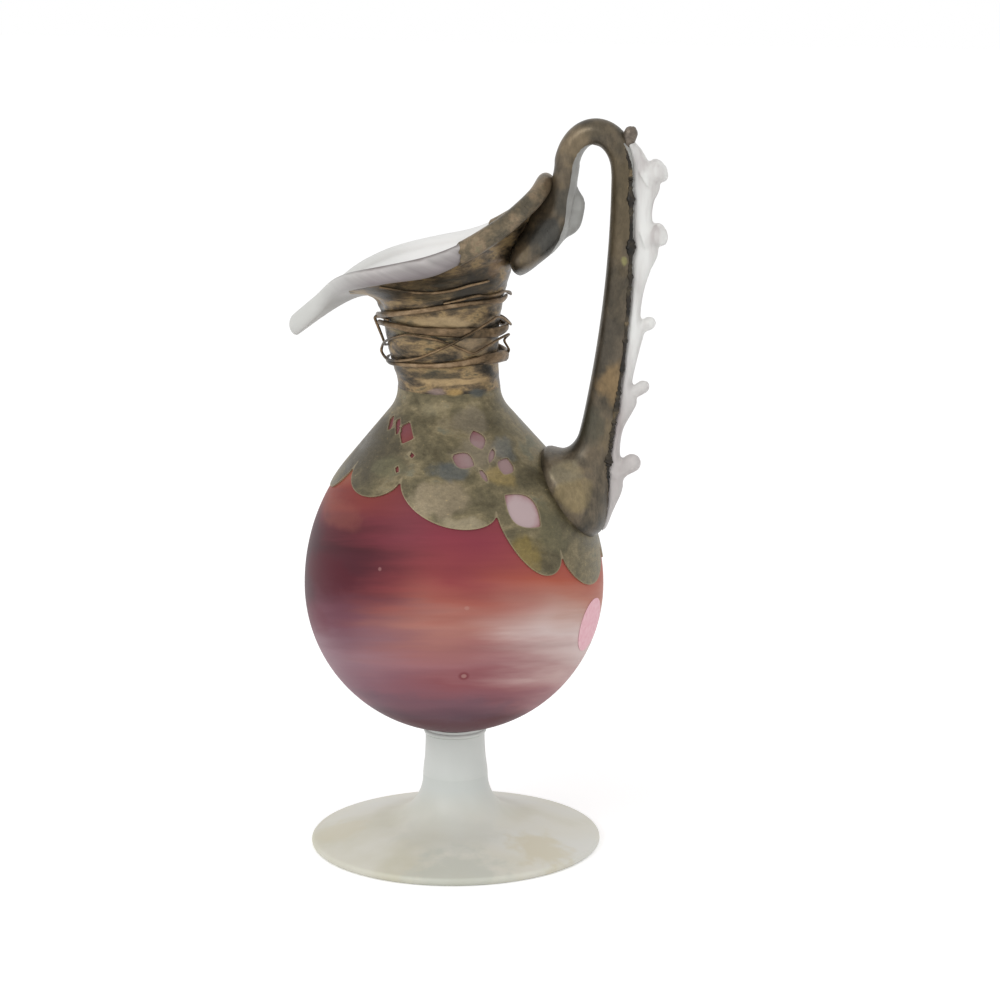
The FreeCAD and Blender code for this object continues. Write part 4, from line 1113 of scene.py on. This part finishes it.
spot = add(tree, "SeparateXYZ", {"Vector": place})
shade = add(tree, "MapRange", {"Value": flow, "From Min": 0.3, "From Max": 0.7, "To Min": 0.84,
                               "To Max": 1.08})
streaked = add(tree, "VectorMath", {0: near.outputs[0], 1: shade.outputs[0]}, operation="MULTIPLY")
side = add(tree, "MapRange", {"Value": spot.outputs["Y"], "From Min": -0.006, "From Max": 0.002})
tint = add(tree, "Mix", {0: side.outputs[0], 6: streaked.outputs[0], 7: far.outputs[0]}, data_type="RGBA")
lip = add(tree, "MapRange", {"Value": spot.outputs["X"], "From Min": -0.020, "From Max": -0.046})
body = add(tree, "Mix", {0: lip.outputs[0], 6: tint.outputs[2], 7: colour("#d3d3cf")}, data_type="RGBA")
tree.links.new(body.outputs[2], shader.inputs["Base Color"])
paint(made, "spout_glass")

made, tree, shader, place = start("frosted_clear_glass", Roughness=0.45, IOR=1.45, Transmission_Weight=0.25)
flow = drawn_out(tree, place, (220, 220, 34), 4, 3.0)
tint = add(tree, "ValToRGB", {"Fac": flow}, stops=[(0.34, "#cdc7c5"), (0.45, "#e8e6e3"), (0.60, "#f8f8f5")])
spot = add(tree, "SeparateXYZ", {"Vector": place})
low = add(tree, "MapRange", {"Value": spot.outputs["Z"], "From Min": 0.150, "From Max": 0.180, "To Min": 0.6,
                             "To Max": 0.0})
body = add(tree, "Mix", {0: low.outputs[0], 6: tint.outputs[0], 7: colour("#b9aeac")}, data_type="RGBA")
tree.links.new(body.outputs[2], shader.inputs["Base Color"])
paint(made, "crest_glass")

mottled("frosted_grey_glass", ["handle_glass"], 90.0, 3.0, [(0.35, "#92918d"), (0.65, "#b4b4b0")],
        Roughness=0.4, IOR=1.45)

# %% [markdown]
# The skin is electroformed copper alloy with an aged patina: olive bronze, mottled, with
# gold where it is rubbed and blue grey where it has tarnished. Coarse noise mixes the
# colours, fine noise shades them and shows specks of bare metal, and marks place the
# stains, with a few painted highlights and painted shade lines among them.

# %% Patinated metal skin


def patina(name, names, stops, speck_share, rows, gold, rough=0.40, metallic=0.55, stretch=(1, 1, 1.6),
           worn=False):
    """Aged metal for the named pieces, with gold specks and, if worn, bright cut edges."""
    made, tree, shader, place = start(name, Metallic=metallic)
    long_place = add(tree, "Mapping", {"Vector": place, "Scale": stretch})
    cloud = add(tree, "TexNoise", {"Vector": long_place.outputs[0], "Scale": 80.0, "Detail": 8.0,
                                   "Roughness": 0.66, "Distortion": 0.3}).outputs["Fac"]
    fine = add(tree, "TexNoise", {"Vector": long_place.outputs[0], "Scale": 520.0, "Detail": 5.0,
                                  "Roughness": 0.8}).outputs["Fac"]
    tint = add(tree, "ValToRGB", {"Fac": cloud}, stops=stops)
    body = marks(tree, place, tint.outputs[0], rows)
    shade = add(tree, "MapRange", {"Value": fine, "From Min": 0.30, "From Max": 0.70, "To Min": 0.72,
                                   "To Max": 1.22})
    body = add(tree, "VectorMath", {0: body, 1: shade.outputs[0]}, operation="MULTIPLY").outputs[0]
    specks = add(tree, "MapRange", {"Value": fine, "From Min": 0.69 - speck_share,
                                    "From Max": 0.76 - speck_share, "To Max": 0.8})
    body = add(tree, "Mix", {0: specks.outputs[0], 6: body, 7: colour(gold)}, data_type="RGBA").outputs[2]
    if worn:
        edge = add(tree, "Attribute", attribute_name="edge_distance")
        bright = add(tree, "MapRange", {"Value": edge.outputs["Fac"], "From Min": 0.20, "From Max": 0.80,
                                        "To Min": 0.90, "To Max": 0.0})
        edged = {0: bright.outputs[0], 6: body, 7: colour("#a8997c")}
        body = add(tree, "Mix", edged, data_type="RGBA").outputs[2]
    gloss = add(tree, "MapRange", {"Value": cloud, "From Min": 0.3, "From Max": 0.7, "To Min": rough - 0.1,
                                   "To Max": rough + 0.15})
    bump = add(tree, "Bump", {"Height": fine, "Strength": 0.35, "Distance": 0.0003})
    tree.links.new(gloss.outputs[0], shader.inputs["Roughness"])
    tree.links.new(bump.outputs[0], shader.inputs["Normal"])
    tree.links.new(body, shader.inputs["Base Color"])
    paint(made, *names)


neck_marks = [
    (-3, -17, 168.8, 10, 2.0, "#3d382d", 0.8), (0.5, -16.3, 166.8, 12, 1.5, "#a8906a", 0.7),
    (10, -12, 166.8, 8, 1.2, "#a98f68", 0.8), (4.5, -15.9, 163.4, 3.4, 2.0, "#a98c58", 0.8),
    (11, -11.5, 162.8, 4.5, 2.0, "#4a4d4a", 0.9), (-2, -17, 163.5, 3.5, 1.6, "#8d7a74", 0.7)]
shoulder_marks = [
    (-25, -17.6, 142.8, 22, 15, "#4d4636", 0.9), (3.7, -39, 131, 14, 7, "#877a63", 0.8),
    (14.4, -24.6, 144, 11, 8, "#857a66", 0.75), (5.5, -31.5, 139.9, 9, 3.4, "#54595a", 0.7),
    (21.5, -26.1, 137.7, 7, 5, "#94804f", 0.6), (30.4, -37.4, 112, 11, 9, "#796836", 0.75),
    (12, -41, 124, 10, 3.0, "#9c9077", 0.7), (40, -25, 122, 10, 12, "#5f5a42", 0.7),
    (-16, -28, 139, 7, 5, "#6e6a50", 0.6), (10, -19, 154, 10, 6, "#7c7260", 0.7),
    (22, -18, 146, 6, 6, "#6d7273", 0.5)]
olive = [(0.36, "#524a35"), (0.45, "#625a43"), (0.52, "#71674d"), (0.58, "#83775b"), (0.66, "#74705c")]
patina("olive_patina", ["shoulder_metal"], olive, 0.045, neck_marks + shoulder_marks, "#bfa266", worn=True)

dark_bronze = [(0.38, "#2a251c"), (0.45, "#463c2d"), (0.51, "#685842"), (0.58, "#957e59"), (0.66, "#585242")]
# The last two rows, at z 192.3 and 181.6, are thin lines of painted shade along the ribbon and the zigzag
# wire; the others are stains and gold.
upper_marks_and_wire_shade = [
    (0, -19, 200, 20, 6, "#37332a", 0.7), (14, -15, 200, 11, 8, "#332e27", 0.8),
    (18, -12, 206, 5, 5, "#7d6448", 0.6), (-14, -14, 186, 8, 6, "#6a6149", 0.7),
    (0, -17, 187, 18, 3.6, "#a48e6b", 0.85), (14, -16, 180, 13, 8, "#877660", 0.7),
    (6, -16, 173, 6, 2, "#80693c", 0.6), (0, -17, 192.3, 18, 1.0, "#28251e", 0.8),
    (0, -17, 181.6, 18, 0.8, "#2e2a20", 0.7)]
patina("dark_patina", ["neck_metal"], dark_bronze, 0.03, neck_marks + upper_marks_and_wire_shade, "#b59a64", 0.36,
       stretch=(1, 1, 2.6))
rim_bronze = [(0.38, "#544d3f"), (0.47, "#6f634f"), (0.55, "#86745d"), (0.64, "#777058")]
patina("rim_patina", ["rim_metal"], rim_bronze, 0.0, (), "#b59a74", 0.34, stretch=(1.6, 1, 1.6))

brown_bronze = [(0.36, "#3b372e"), (0.47, "#524a3d"), (0.56, "#665b4b"), (0.66, "#75674f")]
# The row at z 246 is a painted highlight on the top of the arch and the row at z 137 a painted highlight on
# the lower pad. The rows at z 226 and z 216 are painted shade where the limb and the upper pad lie under the
# rim. The other rows are stains and rubbed gold.
handle_marks_and_painted_light = [
    (42, -4, 246, 8, 8, "#83735a", 0.6), (52, -5, 252, 8, 4, "#5f5544", 0.5),
    (58, -5, 226, 9, 26, "#5c503a", 0.6), (56, -5, 178, 8, 14, "#575046", 0.4),
    (41, -5, 226, 7, 8, "#4a4740", 0.8), (60, -5, 208, 1.6, 2.4, "#8f8a5c", 0.8),
    (56, -5, 166, 6, 9, "#8b7350", 0.7), (48, -8, 152, 9, 9, "#4e4c40", 0.7),
    (41, -13, 137, 7, 5, "#a79d7f", 0.35), (45, -16, 129, 9, 6, "#94835c", 0.5),
    (44, -15, 150, 10, 8, "#464a42", 0.7), (36, -10, 216, 9, 9, "#41403c", 0.85)]
patina("brown_patina", ["grip_metal", "arch_metal", "upper_pad_metal"], brown_bronze, 0.0, handle_marks_and_painted_light,
       "#a08858", 0.34, stretch=(1, 1, 0.5))

copper = [(0.40, "#17140f"), (0.50, "#2c251c"), (0.58, "#484031"), (0.68, "#7d6c50")]
patina("copper_crust", ["seam_crust_near", "seam_crust_far"], copper, -0.02, (), "#b8a684", 0.40, 0.4)
nub = [(0.36, "#4a433c"), (0.50, "#6f655a"), (0.64, "#94887b")]
patina("nub_patina", ["crest_tip_metal"], nub, 0.02, (), "#a8977c", 0.36)

wire_brown = [(0.36, "#332b1f"), (0.45, "#584834"), (0.54, "#7b654b"), (0.66, "#9a8468")]
patina("wire_patina", ["ribbon_wire", "neck_crease", "neck_top_wire", "zigzag_wire", "left_loop_wire"],
       wire_brown, 0.04, (), "#b39a76", 0.34, 0.7)

# %% [markdown]
# The dot is matt pink paper with a faint fibre mottle.

# %% Pink paper
mottled("pink_paper", ["paper_dot"], 700.0, 3.0, [(0.35, "#e6b0ba"), (0.65, "#ecbec6")], Roughness=0.7)

# %% [markdown]
# The light is that of a product picture: a pale surround, one large soft lamp at the
# upper left and a weak one at the right. The background and the floor show as white to
# the camera and in gloss and glass, while the object itself is lit at a plain level.

# %% Light, floor and backdrop
surround, floor_glow, floor_half_size, lamp_target = 0.78, 0.35, 3, Vector((0, 0, 0.12))
scene = bpy.context.scene
scene.view_settings.view_transform = "Standard"


def white_rays(tree):
    """1 for rays from the camera, off a gloss and through glass, and 0 for all others."""
    seen = add(tree, "LightPath")
    white = seen.outputs["Is Camera Ray"]
    for kind in ("Is Glossy Ray", "Is Transmission Ray"):
        white = add(tree, "Math", {0: white, 1: seen.outputs[kind]}, operation="MAXIMUM").outputs[0]
    return white


world = bpy.data.worlds.new("studio")
scene.world = world
tree = fresh_tree(world)
strength = add(tree, "MapRange", {"Value": white_rays(tree), "To Min": surround, "To Max": 1.0})
background = add(tree, "Background", {"Color": (1, 1, 1, 1), "Strength": strength.outputs[0]})
add(tree, "OutputWorld", {"Surface": background.outputs[0]})


def lamp(name, place, size, power):
    data = bpy.data.lights.new(name, "AREA")
    data.shape, data.size, data.energy = "SQUARE", size, power
    made = bpy.data.objects.new(name, data)
    made.location = place
    made.rotation_euler = (lamp_target - Vector(place)).to_track_quat("-Z", "Y").to_euler()
    scene.collection.objects.link(made)


lamp("key", (-0.60, -1.05, 0.95), 0.6, 5.0)
lamp("fill", (1.1, -0.7, 0.5), 0.8, 1.2)

bm = bmesh.new()
bmesh.ops.create_grid(bm, x_segments=1, y_segments=1, size=floor_half_size)
mesh = bpy.data.meshes.new("floor")
bm.to_mesh(mesh)
bm.free()
floor = bpy.data.objects.new("floor", mesh)
scene.collection.objects.link(floor)
floor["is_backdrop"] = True
made = bpy.data.materials.new("white_floor")
tree = fresh_tree(made)
glow = add(tree, "Math", {0: white_rays(tree), 1: floor_glow}, operation="MULTIPLY")
matt = add(tree, "BsdfDiffuse", {"Color": (0.9, 0.9, 0.9, 1)})
shine = add(tree, "Emission", {"Color": (1, 1, 1, 1), "Strength": glow.outputs[0]})
sum_shader = add(tree, "AddShader", {0: matt.outputs[0], 1: shine.outputs[0]})
add(tree, "OutputMaterial", {"Surface": sum_shader.outputs[0]})
mesh.materials.append(made)

# %% [markdown]
# The camera stands a little to the right of the spout's side and above it, as in the
# photograph. Its place and turn come from fitting the outlines of foot, bulb and rim.

# %% Camera
camera_reach, camera_height, aim_aside, aim_height = 1168, 385.4, 15.97, 122.38
camera = bpy.data.objects.new("camera", bpy.data.cameras.new("camera"))
scene.collection.objects.link(camera)
scene.camera = camera
camera.data.sensor_width, camera.data.lens = 36, 125.37
swing, roll = radians(12), radians(-0.22)
stand = Vector((camera_reach * sin(swing), -camera_reach * cos(swing), camera_height)) * MM
aim = Vector((aim_aside * cos(swing), aim_aside * sin(swing), aim_height)) * MM
ahead = (aim - stand).normalized()
across = ahead.cross(Vector((0, 0, 1))).normalized()
upward = across.cross(ahead)
turned_across = across * cos(roll) + upward * sin(roll)
turned_up = upward * cos(roll) - across * sin(roll)
turn = Matrix((turned_across, turned_up, -ahead)).transposed().to_4x4()
camera.matrix_world = Matrix.Translation(stand) @ turn
camera.data.clip_start, camera.data.clip_end = 0.05, 20
print("camera at", [round(v, 3) for v in stand])

# %% Sizes and finish
low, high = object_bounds()
sizes = {"cad": [list(cad_low), list(cad_high)], "visual": [list(low), list(high)]}
print("visual against CAD, mm", [[round((b - a) * 1000, 1) for a, b in zip(c, v)]
                                 for c, v in zip(sizes["cad"], sizes["visual"])])
